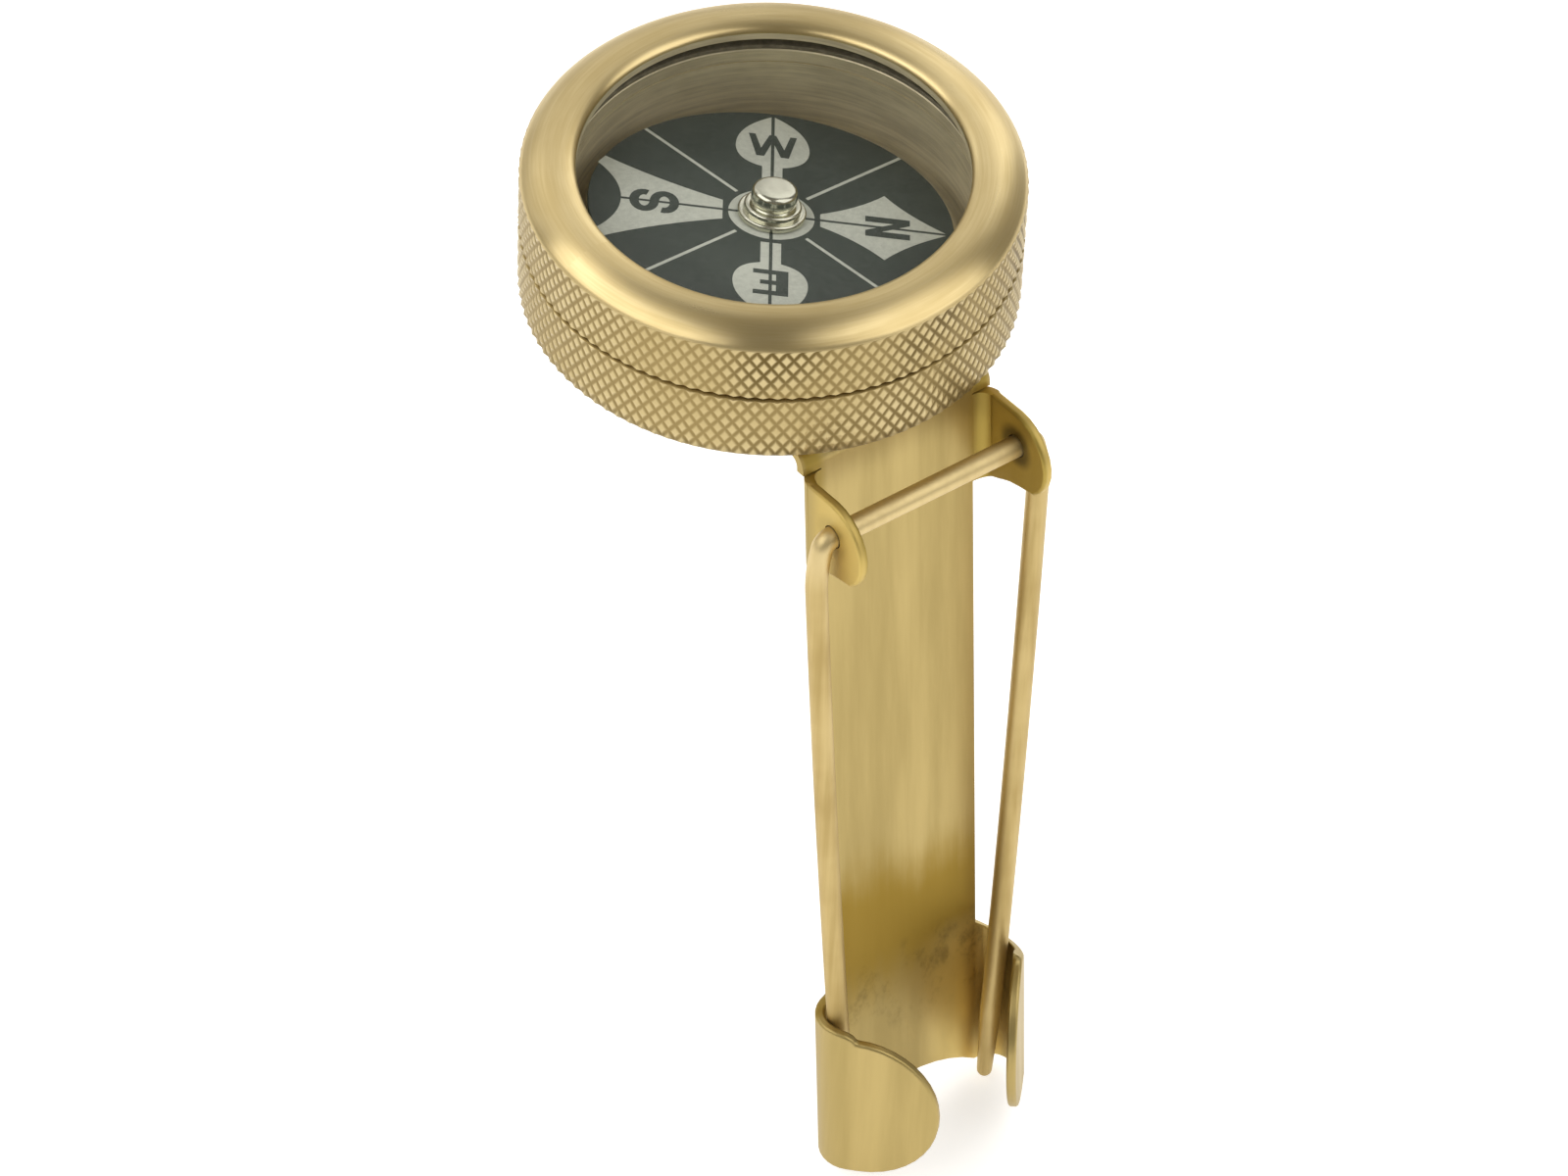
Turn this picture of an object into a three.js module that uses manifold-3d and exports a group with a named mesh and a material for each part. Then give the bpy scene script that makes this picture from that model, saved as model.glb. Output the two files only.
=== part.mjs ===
// Pin-on compass: a knurled brass case with a floating card under glass, riveted to a bent
// strap that carries a hinged two-legged wire pin and two rolled hooks for the legs.
// Millimetres, +Z up along the case's axis, the pin on the -Y side.
// The origin lies on the strap's front face, where the cloth is gripped.

import * as THREE from 'three';
import { mergeVertices } from 'three/addons/utils/BufferGeometryUtils.js';
import Module from 'manifold-3d';

const wasm = await Module();
wasm.setup();

// Case, lower ring and threaded spigot
const caseRadius = 15;
const caseWall = 2.8;
const caseFloor = 1.4;
const edgeBreakHeight = 0.4;
const edgeBreakWidth = 0.8;
const lowerRingHeight = 4.65;
const spigotStep = 1.4;
const spigotHeight = 1.65;
const floorFillet = 0.8;

// Bezel ring
const ringSplit = 0.1;
const threadClearance = 0.1;
const bezelBandHeight = 3.77;
const domeHeight = 1.05;
const lipOverhang = 0.58;
const lipDrop = 0.47;
const domeCrestInset = 2.3;
const lipSeatGap = 0.05;

// Crystal stack under the lip
const retainerHeight = 1.0;
const gasketHeight = 0.3;
const crystalThickness = 1.0;
const crystalClearance = 0.15;
const crystalChamfer = 0.2;

// Floating card, its hub and its magnet
const cardClearance = 1.3;
const cardThickness = 0.3;
const cardHoleRadius = 1.15;
const cardLevel = 5.02;
const cardTilt = 11.4;
const cardTiltBearing = 23.4;
const cardHeading = -37;
const glueFilm = 0.1;
const hubFlangeRadius = 2.05;
const hubFlangeHeight = 0.35;
const hubStepRadius = 1.72;
const hubStepHeight = 0.4;
const hubButtonRadius = 1.38;
const hubButtonHeight = 1.1;
const hubButtonRound = 0.3;
const jewelRadius = 0.95;
const jewelHeight = 1.15;
const jewelConeDepth = 0.75;
const jewelConeRadius = 0.65;
const jewelClearance = 0.05;
const magnetLength = 17;
const magnetWidth = 3.4;
const magnetThickness = 0.9;
const magnetHoleRadius = 1.25;

// Pivot
const pivotGap = 0.1;
const needleRadius = 0.4;
const needleConeHeight = 1.1;
const needleTipRadius = 0.06;
const needleSeatDepth = 1.6;
const pressClearance = 0.03;
const postRadius = 1.2;
const postHeight = 2.4;
const postFlangeRadius = 2.4;
const postFlangeHeight = 0.6;
const postTailRadius = 0.9;

// Bracket sheet: tab under the case, bend, strap
const sheet = 0.62;
const solderFilm = 0.1;
const strapLean = 5.1;
const strapSetback = 1.8;
const strapHalfWidth = 5.5;
const tabHalfWidth = 6.8;
const tabReach = 7;
const tabBend = 0.6;
const tabShoulder = 0.3;
const hingeDrop = 3.8;
const archRise = 1.9;

// Rivets through the tab and the case floor
const rivetSpacing = 8.4;
const rivetRadius = 0.8;
const rivetHeadRadius = 1.4;
const rivetHeadHeight = 0.5;
const rivetCrownShare = 0.7;

// Ears that carry the pin
const earHalfSpan = 7;
const earBend = 0.8;
const earLobeRadius = 2.9;
const earLobeDrop = 0.5;
const earLobeBack = 0.1;
const earLobeStart = 90;
const earLobeEnd = 232;
const earRelief = 0.1;
const earRootBottom = 4.5;
const hingeForward = 3.1;
const hingeHoleClearance = 0.25;

// Pin wire
const wireRadius = 0.675;
const elbowRadius = 0.75;
const elbowFlare = 15;
const shoulderRadius = 11;
const shoulderLean = 2;
const elbowGap = 0.02;
const legGap = 0.27;
const legOverrun = 0.7;
const legBow = 0.2;
const tipTaper = 6;
const tipRadiusShare = 0.72;

// Rolled hooks at the foot of the strap
const hookTop = 41.4;
const hookHeight = 12.1;
const hookCentreX = 5.35;
const hookInnerRadius = 1.6;
const hookLean = 42;
const hookFlange = 6.2;
const legTipOutset = 0.05;
const lobeHalfWidth = 5.2;
const lobeHalfHeight = 5.68;
const lobeCentreReach = 0.78;
const rimReach = 0.4;
const rimRise = 0.2;
const slantStart = 5.5;
const slantDrop = 1.9;

// Grip point on the strap, below the hinge axis
const gripDrop = 24;

// Facets
const ringSides = 72;
const smallSides = 20;
const wireSides = 12;
const curveSteps = 5;
const bendStep = 12;

// Blanks for cutting outlines reach this many times past the size that they clear
const cutterReach = 4;

// Levels and radii that follow from the sizes above
const rad = THREE.MathUtils.degToRad;
const underside = -edgeBreakHeight;
const floorTop = underside + caseFloor;
const innerRadius = caseRadius - caseWall;
const spigotRadius = caseRadius - spigotStep;
const spigotTop = lowerRingHeight + spigotHeight;
const bezelBottom = lowerRingHeight + ringSplit;
const bezelBandTop = bezelBottom + bezelBandHeight;
const bezelBore = spigotRadius + threadClearance;
const apertureRadius = innerRadius - lipOverhang;
const retainerTop = spigotTop + retainerHeight;
const gasketTop = retainerTop + gasketHeight;
const crystalTop = gasketTop + crystalThickness;
const crystalRadius = bezelBore - crystalClearance;
const lipSeat = crystalTop + lipSeatGap;
const bezelCrest = bezelBandTop + domeHeight;
const lipEdge = bezelCrest - lipDrop;
const cardRadius = innerRadius - cardClearance;
const pivotLevel = cardLevel + jewelConeDepth;
const tabTop = underside - solderFilm;
const hingeLevel = tabTop - hingeDrop;
const strapFront = strapSetback - caseRadius;
const lean = rad(strapLean);
const bendFaceRadius = tabBend + sheet;
const bendStart = (tabTop - hingeLevel - bendFaceRadius * (1 - Math.sin(lean))) / Math.cos(lean);
const shoulderLevel = bendStart - tabShoulder;
const earRootTop = shoulderLevel - earRelief;
const earTop = earLobeRadius - earLobeDrop;
const strapWidth = 2 * strapHalfWidth;
const hookBottom = hookTop + hookHeight;
const legTipDrop = hookBottom + legOverrun;
const hingeHoleRadius = wireRadius + hingeHoleClearance;
const rivetPlaces = [-rivetSpacing / 2, rivetSpacing / 2];
const rivetHoleRadius = rivetRadius + pressClearance;

// Materials
function finish(colour, roughness, metalness) {
  return new THREE.MeshStandardMaterial({ color: colour, roughness, metalness });
}
const brass = () => finish(0xc2a467, 0.35, 1);
const dullBrass = () => finish(0xa8935f, 0.5, 1);
const nickel = () => finish(0xcfcac0, 0.15, 1);
const steel = () => finish(0x8e9196, 0.3, 1);
const cardPaint = () => finish(0x3b3f3a, 0.7, 0);
const darkRubber = () => finish(0x23211e, 0.8, 0);
const clearGlass = () => finish(0xe8efee, 0.05, 0);
const ruby = () => finish(0xb06a78, 0.1, 0);

// A closed solid from a geometry: shared vertices welded, slivers of no area dropped
function solid(geometry) {
  const weld = 1e-4;
  const bare = geometry.clone();
  bare.deleteAttribute('normal');
  bare.deleteAttribute('uv');
  const merged = mergeVertices(bare, weld);
  const index = merged.index.array;
  const triangles = [];
  for (let i = 0; i < index.length; i += 3) {
    const [a, b, c] = [index[i], index[i + 1], index[i + 2]];
    if (a !== b && b !== c && c !== a) {
      triangles.push(a, b, c);
    }
  }
  const vertProperties = new Float32Array(merged.attributes.position.array);
  const triVerts = new Uint32Array(triangles);
  return new wasm.Manifold(new wasm.Mesh({ numProp: 3, vertProperties, triVerts }));
}

function toGeometry(body) {
  const { vertProperties, triVerts } = body.getMesh();
  const geometry = new THREE.BufferGeometry();
  geometry.setAttribute('position', new THREE.BufferAttribute(vertProperties, 3));
  geometry.setIndex(new THREE.BufferAttribute(triVerts, 1));
  geometry.computeVertexNormals();
  return geometry;
}

function piece(name, body, material) {
  const mesh = new THREE.Mesh(toGeometry(body), material);
  mesh.name = name;
  return mesh;
}

function point(x, y) {
  return new THREE.Vector2(x, y);
}

// A body of revolution about Z from a profile of (radius, level) pairs, anticlockwise,
// that either starts and ends on the axis or closes on itself
function revolve(profile, sides = ringSides) {
  const points = profile.map(([radius, level]) => point(radius, level));
  const onAxis = points[0].x === 0 && points[points.length - 1].x === 0;
  if (!onAxis) {
    points.push(points[0].clone());
  }
  const geometry = new THREE.LatheGeometry(points, sides);
  geometry.rotateX(Math.PI / 2);
  return solid(geometry);
}

function curvePoints(curve, steps = curveSteps) {
  return curve.getPoints(steps).map((p) => [p.x, p.y]);
}

// The space that a drill along Z takes away
function drill(radius, bottom, top, x = 0, y = 0) {
  const shape = new THREE.CylinderGeometry(radius, radius, top - bottom, smallSides);
  shape.rotateX(Math.PI / 2);
  shape.translate(x, y, (top + bottom) / 2);
  return shape;
}

function prism(outline, depth, axisX, axisY, origin) {
  const shape = new THREE.Shape(outline);
  const geometry = new THREE.ExtrudeGeometry(shape, { depth, bevelEnabled: false });
  const along = new THREE.Vector3().crossVectors(axisX, axisY);
  const place = new THREE.Matrix4().makeBasis(axisX, axisY, along).setPosition(origin);
  geometry.applyMatrix4(place);
  return solid(geometry);
}

// The edge outline of a folded sheet: straight runs and bends from a start point on its
// reference face, which stays on the left of the heading. A bend to the left folds around
// the given inner radius on the reference face, and one to the right on the other face.
function sheetOutline(start, heading, runs) {
  const face = [start.clone()];
  const left = () => point(-Math.sin(angle), Math.cos(angle));
  const away = (p) => p.clone().addScaledVector(left(), -sheet);
  let angle = rad(heading);
  let here = start.clone();
  const back = [away(here)];
  for (const run of runs) {
    if (run.length) {
      here = here.clone().add(point(Math.cos(angle), Math.sin(angle)).multiplyScalar(run.length));
      face.push(here);
      back.push(away(here));
      continue;
    }
    const side = Math.sign(run.turn);
    const faceRadius = side > 0 ? run.radius : run.radius + sheet;
    const centre = here.clone().addScaledVector(left(), side * faceRadius);
    const steps = Math.ceil(Math.abs(run.turn) / bendStep);
    for (let i = 0; i < steps; i += 1) {
      angle += rad(run.turn) / steps;
      here = centre.clone().addScaledVector(left(), -side * faceRadius);
      face.push(here);
      back.push(away(here));
    }
  }
  return face.concat(back.reverse());
}

// Axes of the strap's own frame: x across, y back through the sheet, z up along the strap
const across = new THREE.Vector3(1, 0, 0);
const backward = new THREE.Vector3(0, 1, 0);
const forward = new THREE.Vector3(0, -1, 0);
const upward = new THREE.Vector3(0, 0, 1);

// Lower case: knurled cup with a floor and a spigot for the bezel's thread
function caseBody() {
  const fillet = new THREE.EllipseCurve(
    innerRadius - floorFillet, floorTop + floorFillet, floorFillet, floorFillet, 0, -Math.PI / 2, true,
  );
  const bore = postTailRadius + pressClearance;
  const cup = revolve([
    [bore, underside],
    [caseRadius - edgeBreakWidth, underside],
    [caseRadius, 0],
    [caseRadius, lowerRingHeight],
    [spigotRadius, lowerRingHeight],
    [spigotRadius, spigotTop],
    [innerRadius, spigotTop],
    ...curvePoints(fillet),
    [bore, floorTop],
  ]);
  let drilled = cup;
  for (const x of rivetPlaces) {
    const hole = drill(rivetHoleRadius, underside - caseFloor, floorTop + caseFloor, x);
    drilled = drilled.subtract(solid(hole));
  }
  return drilled;
}

// Bezel: a knurled band that turns over into a smooth domed lip round the glass
function bezelRing() {
  const crest = point(caseRadius - domeCrestInset, bezelCrest);
  const shoulder = new THREE.QuadraticBezierCurve(
    point(caseRadius, bezelBandTop),
    point(caseRadius - domeHeight, bezelCrest),
    crest,
  );
  const roll = new THREE.QuadraticBezierCurve(
    crest,
    point(apertureRadius, bezelCrest),
    point(apertureRadius, lipEdge),
  );
  return revolve([
    [bezelBore, bezelBottom],
    [caseRadius, bezelBottom],
    ...curvePoints(shoulder),
    ...curvePoints(roll).slice(1),
    [apertureRadius, lipSeat],
    [bezelBore, lipSeat],
  ]);
}

function flatRing(inner, outer, bottom, top) {
  return revolve([[inner, bottom], [outer, bottom], [outer, top], [inner, top]]);
}

function crystal() {
  return revolve([
    [0, gasketTop],
    [crystalRadius, gasketTop],
    [crystalRadius, crystalTop - crystalChamfer],
    [crystalRadius - crystalChamfer, crystalTop],
    [0, crystalTop],
  ]);
}

// The card and what rides on it, in a frame with its origin on the card's upper face
function compassCard() {
  return flatRing(cardHoleRadius, cardRadius, -cardThickness, 0);
}

function hubCap() {
  const seat = glueFilm;
  const flangeTop = seat + hubFlangeHeight;
  const stepTop = flangeTop + hubStepHeight;
  const buttonTop = stepTop + hubButtonHeight;
  const cavityRadius = jewelRadius + jewelClearance;
  const cavityTop = seat + jewelHeight + jewelClearance;
  const round = new THREE.EllipseCurve(
    hubButtonRadius - hubButtonRound, buttonTop - hubButtonRound, hubButtonRound, hubButtonRound,
    0, Math.PI / 2,
  );
  return revolve([
    [0, cavityTop],
    [cavityRadius, cavityTop],
    [cavityRadius, seat],
    [hubFlangeRadius, seat],
    [hubFlangeRadius, flangeTop],
    [hubStepRadius, flangeTop],
    [hubStepRadius, stepTop],
    [hubButtonRadius, stepTop],
    ...curvePoints(round),
    [0, buttonTop],
  ], smallSides);
}

function jewelCup() {
  const seat = glueFilm;
  const top = seat + jewelHeight;
  return revolve([
    [0, jewelConeDepth],
    [jewelConeRadius, seat],
    [jewelRadius, seat],
    [jewelRadius, top],
    [0, top],
  ], smallSides);
}

// A long hexagonal bar of steel under the card, along its north to south line
function barMagnet() {
  const half = magnetLength / 2;
  const side = magnetWidth / 2;
  const taper = magnetWidth;
  const outline = [
    point(half, 0),
    point(half - taper, side),
    point(taper - half, side),
    point(-half, 0),
    point(taper - half, -side),
    point(half - taper, -side),
  ];
  const top = -cardThickness - glueFilm;
  const seat = new THREE.Vector3(0, 0, top - magnetThickness);
  const bar = prism(outline, magnetThickness, across, backward, seat);
  const hole = drill(magnetHoleRadius, top - 2 * magnetThickness, top + magnetThickness);
  return bar.subtract(solid(hole));
}

function pivotPost() {
  const flangeTop = floorTop + postFlangeHeight;
  const top = floorTop + postHeight;
  const socket = needleRadius + pressClearance;
  return revolve([
    [0, underside],
    [postTailRadius, underside],
    [postTailRadius, floorTop],
    [postFlangeRadius, floorTop],
    [postFlangeRadius, flangeTop],
    [postRadius, flangeTop],
    [postRadius, top],
    [socket, top],
    [socket, top - needleSeatDepth],
    [0, top - needleSeatDepth],
  ], smallSides);
}

function pivotNeedle() {
  const foot = floorTop + postHeight - needleSeatDepth;
  const tip = pivotLevel - pivotGap;
  return revolve([
    [0, foot],
    [needleRadius, foot],
    [needleRadius, tip - needleConeHeight],
    [needleTipRadius, tip],
    [0, tip],
  ], smallSides);
}

function rivet() {
  const tabBottom = tabTop - sheet;
  return revolve([
    [0, tabBottom - rivetHeadHeight],
    [rivetHeadRadius * rivetCrownShare, tabBottom - rivetHeadHeight],
    [rivetHeadRadius, tabBottom],
    [rivetRadius, tabBottom],
    [rivetRadius, floorTop],
    [rivetHeadRadius, floorTop],
    [rivetHeadRadius * rivetCrownShare, floorTop + rivetHeadHeight],
    [0, floorTop + rivetHeadHeight],
  ], smallSides);
}

// Bracket, in the strap's frame: origin on the front face at the height of the hinge axis
function tabWithBend() {
  const topStart = point(
    bendFaceRadius * (1 - Math.sin(lean)),
    bendStart + bendFaceRadius * Math.cos(lean),
  );
  const startBack = strapFront + topStart.x * Math.cos(lean) + topStart.y * Math.sin(lean);
  const outline = sheetOutline(point(0, shoulderLevel), 90, [
    { length: tabShoulder },
    { turn: strapLean - 90, radius: tabBend },
    { length: tabReach - startBack },
  ]);
  const folded = prism(outline, 2 * tabHalfWidth, backward, upward, new THREE.Vector3(-tabHalfWidth, 0, 0));
  return folded.intersect(tabPlan());
}

// Plan of the tab: square at the bend, a half round at its far end
function tabPlan() {
  const end = tabReach - strapFront;
  const roundCentre = end - tabHalfWidth;
  const front = -sheet;
  const round = new THREE.EllipseCurve(0, roundCentre, tabHalfWidth, tabHalfWidth, 0, Math.PI);
  const outline = [
    point(-tabHalfWidth, front),
    point(tabHalfWidth, front),
    ...round.getPoints(4 * curveSteps),
  ];
  const height = cutterReach * hingeDrop;
  return prism(outline, height, across, backward, new THREE.Vector3(0, 0, shoulderLevel - hingeDrop));
}

function strapBlade() {
  const bottom = -hookBottom;
  const outline = [
    point(strapHalfWidth, bendStart),
    point(-strapHalfWidth, bendStart),
    point(-strapHalfWidth, bottom),
    point(strapHalfWidth, bottom),
  ];
  return prism(outline, sheet, across, upward, new THREE.Vector3(0, sheet, 0));
}

// The shallow arch cut out of the strap's foot, between the hooks
function footArch() {
  const half = hookCentreX;
  const radius = (half ** 2 + archRise ** 2) / (2 * archRise);
  const sweep = Math.asin(half / radius);
  const edge = new THREE.EllipseCurve(
    0, archRise - radius - hookBottom, radius, radius, Math.PI / 2 - sweep, Math.PI / 2 + sweep,
  );
  const depth = cutterReach * sheet;
  const back = new THREE.Vector3(0, (sheet + depth) / 2, 0);
  return prism(edge.getPoints(2 * curveSteps), depth, across, upward, back);
}

// An ear: the sheet folded forward at the strap's side, cut to a rounded lobe with a hole
function ear(side) {
  const flat = earHalfSpan - sheet - earBend;
  const reach = hingeForward + 2 * earLobeRadius;
  const section = sheetOutline(point(0, 0), 0, [
    { length: flat },
    { turn: 90, radius: earBend },
    { length: reach },
  ]).map((p) => point(side * p.x, p.y));
  const folded = prism(
    section, earTop + earRootBottom, across, forward, new THREE.Vector3(0, 0, earTop),
  );
  return folded.intersect(earOutline());
}

function earOutline() {
  const lobe = new THREE.EllipseCurve(
    earLobeBack - hingeForward, -earLobeDrop, earLobeRadius, earLobeRadius,
    rad(earLobeStart), rad(earLobeEnd),
  );
  const underEdge = new THREE.QuadraticBezierCurve(
    lobe.getPoint(1),
    point(-hingeForward / 2, -earLobeDrop - earLobeRadius),
    point(0, -earRootBottom),
  );
  const outline = new THREE.Shape([
    point(sheet, -earRootBottom),
    point(sheet, earRootTop),
    point(-earBend, earRootTop),
    ...lobe.getPoints(2 * curveSteps),
    ...underEdge.getPoints(curveSteps).slice(1),
  ]);
  const hole = new THREE.Path();
  hole.absarc(-hingeForward, 0, hingeHoleRadius, 0, 2 * Math.PI);
  outline.holes.push(hole);
  const width = cutterReach * earHalfSpan;
  const settings = { depth: width, bevelEnabled: false, curveSegments: curveSteps };
  const geometry = new THREE.ExtrudeGeometry(outline, settings);
  const place = new THREE.Matrix4().makeBasis(backward, upward, across);
  place.setPosition(-width / 2, 0, 0);
  geometry.applyMatrix4(place);
  return solid(geometry);
}

// A hook: the foot of the strap rolled round the leg and folded in, cut to a round tongue
function hook(side) {
  const section = sheetOutline(point(0, 0), 0, [
    { length: hookCentreX },
    { turn: 90 + hookLean, radius: hookInnerRadius },
    { length: hookFlange },
  ]).map((p) => point(side * p.x, p.y));
  const depth = hookHeight + lobeHalfHeight;
  const rolled = prism(section, depth, across, forward, new THREE.Vector3(0, 0, -hookTop));
  const cut = rolled.intersect(tongue(side));
  return side > 0 ? cut.subtract(slant()) : cut;
}

// The upper corner of the right hook, cut off at a slant
function slant() {
  const outer = hookCentreX + hookInnerRadius + sheet;
  const outline = [
    point(slantStart, -hookTop),
    point(outer, -hookTop - slantDrop),
    point(outer + sheet, -hookTop - slantDrop),
    point(outer + sheet, sheet - hookTop),
    point(slantStart, sheet - hookTop),
  ];
  const depth = cutterReach * hookFlange;
  return prism(outline, depth, across, upward, new THREE.Vector3(0, depth / 2, 0));
}

// The tongue's outline, seen square to the flange: reach along the flange from the roll's centre
function tongue(side) {
  const centre = point(lobeCentreReach, lobeHalfHeight - hookBottom);
  const lobe = new THREE.EllipseCurve(
    centre.x, centre.y, lobeHalfWidth, lobeHalfHeight, Math.PI / 2, -Math.PI / 2, true,
  );
  const rim = new THREE.QuadraticBezierCurve(
    point(-hookInnerRadius - sheet, -hookTop),
    point(rimReach, rimRise - hookTop),
    point(centre.x, centre.y + lobeHalfHeight),
  );
  const behind = -2 * hookCentreX;
  const outline = [
    point(behind, -hookBottom),
    point(behind, -hookTop),
    ...rim.getPoints(curveSteps),
    ...lobe.getPoints(4 * curveSteps).slice(1),
    point(-hookInnerRadius, -hookBottom),
  ];
  const turn = rad(hookLean);
  const reach = new THREE.Vector3(-side * Math.sin(turn), -Math.cos(turn), 0);
  const normal = new THREE.Vector3().crossVectors(reach, upward);
  const width = cutterReach * strapWidth;
  const origin = new THREE.Vector3(side * hookCentreX, -hookInnerRadius, 0);
  origin.addScaledVector(normal, -width / 2);
  return prism(outline, width, reach, upward, origin);
}

function bracketBody() {
  let body = strapBlade().add(tabWithBend());
  for (const side of [-1, 1]) {
    body = body.add(ear(side)).add(hook(side));
  }
  return body.subtract(footArch());
}

// Pin: one wire bent into a U, in a frame with its origin in the middle of the cross bar
function pinWire() {
  const tipHalf = hookCentreX + legTipOutset;
  const tipDepth = legTipDrop;
  const flare = rad(elbowFlare);
  const centre = point(earHalfSpan + elbowGap, -elbowRadius);
  const elbow = new THREE.EllipseCurve(
    centre.x, centre.y, elbowRadius, elbowRadius, Math.PI / 2, flare, true,
  );
  const shoulderReach = elbowRadius - shoulderRadius;
  const shoulder = new THREE.EllipseCurve(
    centre.x + shoulderReach * Math.cos(flare), centre.y + shoulderReach * Math.sin(flare),
    shoulderRadius, shoulderRadius, flare, -rad(shoulderLean), true,
  );
  const bend = elbow.getPoints(curveSteps).concat(shoulder.getPoints(curveSteps).slice(1));
  const tip = point(tipHalf, -tipDepth);
  const legTop = bend.pop();
  const middle = legTop.clone().lerp(tip, 1 / 2).add(point(2 * legBow, 0));
  const leg = new THREE.QuadraticBezierCurve(legTop, middle, tip);
  const taperShare = tipTaper / tipDepth;
  const shaft = Array.from({ length: curveSteps + 1 }, (_, i) => (
    leg.getPoint((i / curveSteps) * (1 - taperShare))
  ));
  const tipRadius = wireRadius * tipRadiusShare;
  const half = bend.concat(shaft).map((p) => ({ at: p, radius: wireRadius }));
  const along = leg.getTangent(1);
  for (let i = 0; i <= curveSteps; i += 1) {
    const angle = (i / curveSteps) * (Math.PI / 2);
    const at = tip.clone().addScaledVector(along, tipRadius * (Math.sin(angle) - 1));
    half.push({ at, radius: tipRadius * Math.cos(angle) });
  }
  const mirrored = half.map(({ at, radius }) => ({ at: point(-at.x, at.y), radius })).reverse();
  return tube(mirrored.concat(half));
}

// A round tube through stations in the XZ plane, each with its own radius. The first and the
// last station have no radius and close the ends.
function tube(stations) {
  const positions = [];
  const index = [];
  const last = stations.length - 1;
  stations.forEach(({ at, radius }, i) => {
    const before = stations[Math.max(i - 1, 0)].at;
    const after = stations[Math.min(i + 1, last)].at;
    const heading = after.clone().sub(before).normalize();
    const inPlane = point(-heading.y, heading.x);
    for (let k = 0; k < wireSides; k += 1) {
      const angle = (k / wireSides) * 2 * Math.PI;
      const offset = inPlane.clone().multiplyScalar(radius * Math.cos(angle));
      positions.push(at.x + offset.x, radius * Math.sin(angle), at.y + offset.y);
    }
  });
  for (let i = 0; i < last; i += 1) {
    for (let k = 0; k < wireSides; k += 1) {
      const a = i * wireSides + k;
      const b = i * wireSides + ((k + 1) % wireSides);
      const c = a + wireSides;
      const d = b + wireSides;
      index.push(a, d, b, a, c, d);
    }
  }
  const geometry = new THREE.BufferGeometry();
  geometry.setAttribute('position', new THREE.Float32BufferAttribute(positions, 3));
  geometry.setIndex(index);
  return solid(geometry);
}

// Assembly
const compass = new THREE.Group();

const housing = new THREE.Group();
housing.add(piece('case_body', caseBody(), brass()));
housing.add(piece('bezel_ring', bezelRing(), brass()));
const retainer = flatRing(innerRadius, crystalRadius, spigotTop, retainerTop);
housing.add(piece('retaining_ring', retainer, dullBrass()));
const gasket = flatRing(innerRadius, crystalRadius, retainerTop, gasketTop);
housing.add(piece('crystal_gasket', gasket, darkRubber()));
housing.add(piece('crystal', crystal(), clearGlass()));
housing.add(piece('pivot_post', pivotPost(), brass()));
housing.add(piece('pivot_needle', pivotNeedle(), steel()));
const rivetNames = ['bracket_rivet_left', 'bracket_rivet_right'];
rivetPlaces.forEach((x, i) => {
  const mesh = piece(rivetNames[i], rivet(), brass());
  mesh.position.x = x;
  housing.add(mesh);
});
compass.add(housing);

// The card balances on the needle's tip, leaning to one side and turned to its heading
const balance = new THREE.Group();
balance.position.z = pivotLevel;
const tiltBearing = rad(cardTiltBearing);
const tiltAxis = new THREE.Vector3(-Math.sin(tiltBearing), Math.cos(tiltBearing), 0);
balance.quaternion.setFromAxisAngle(tiltAxis, rad(cardTilt));
const floatingCard = new THREE.Group();
floatingCard.position.z = cardLevel - pivotLevel;
floatingCard.rotation.z = rad(cardHeading);
floatingCard.add(piece('compass_card', compassCard(), cardPaint()));
floatingCard.add(piece('hub_cap', hubCap(), nickel()));
floatingCard.add(piece('jewel_cup', jewelCup(), ruby()));
floatingCard.add(piece('bar_magnet', barMagnet(), steel()));
balance.add(floatingCard);
housing.add(balance);

const strapFrame = new THREE.Group();
strapFrame.position.set(0, strapFront, hingeLevel);
strapFrame.rotation.x = -lean;
strapFrame.add(piece('bracket', cutTabHoles(bracketBody()), brass()));
const pin = piece('pin', pinWire(), brass());
pin.position.set(0, -hingeForward, 0);
pin.rotation.x = Math.atan2(hingeForward - wireRadius - legGap, legTipDrop);
strapFrame.add(pin);
compass.add(strapFrame);

// The rivet holes in the tab, square to the case's floor
function cutTabHoles(body) {
  const bottom = tabTop - 2 * sheet - hingeLevel;
  const top = tabTop + sheet - hingeLevel;
  let drilled = body;
  for (const x of rivetPlaces) {
    const hole = drill(rivetHoleRadius, bottom, top, x, -strapFront);
    hole.rotateX(lean);
    drilled = drilled.subtract(solid(hole));
  }
  return drilled;
}

// The grip point goes to the origin
compass.position.set(
  0,
  -(strapFront - gripDrop * Math.sin(lean)),
  -(hingeLevel - gripDrop * Math.cos(lean)),
);

export default compass;
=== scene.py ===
import math

import bmesh
import bpy
from mathutils import Matrix, Vector


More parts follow.
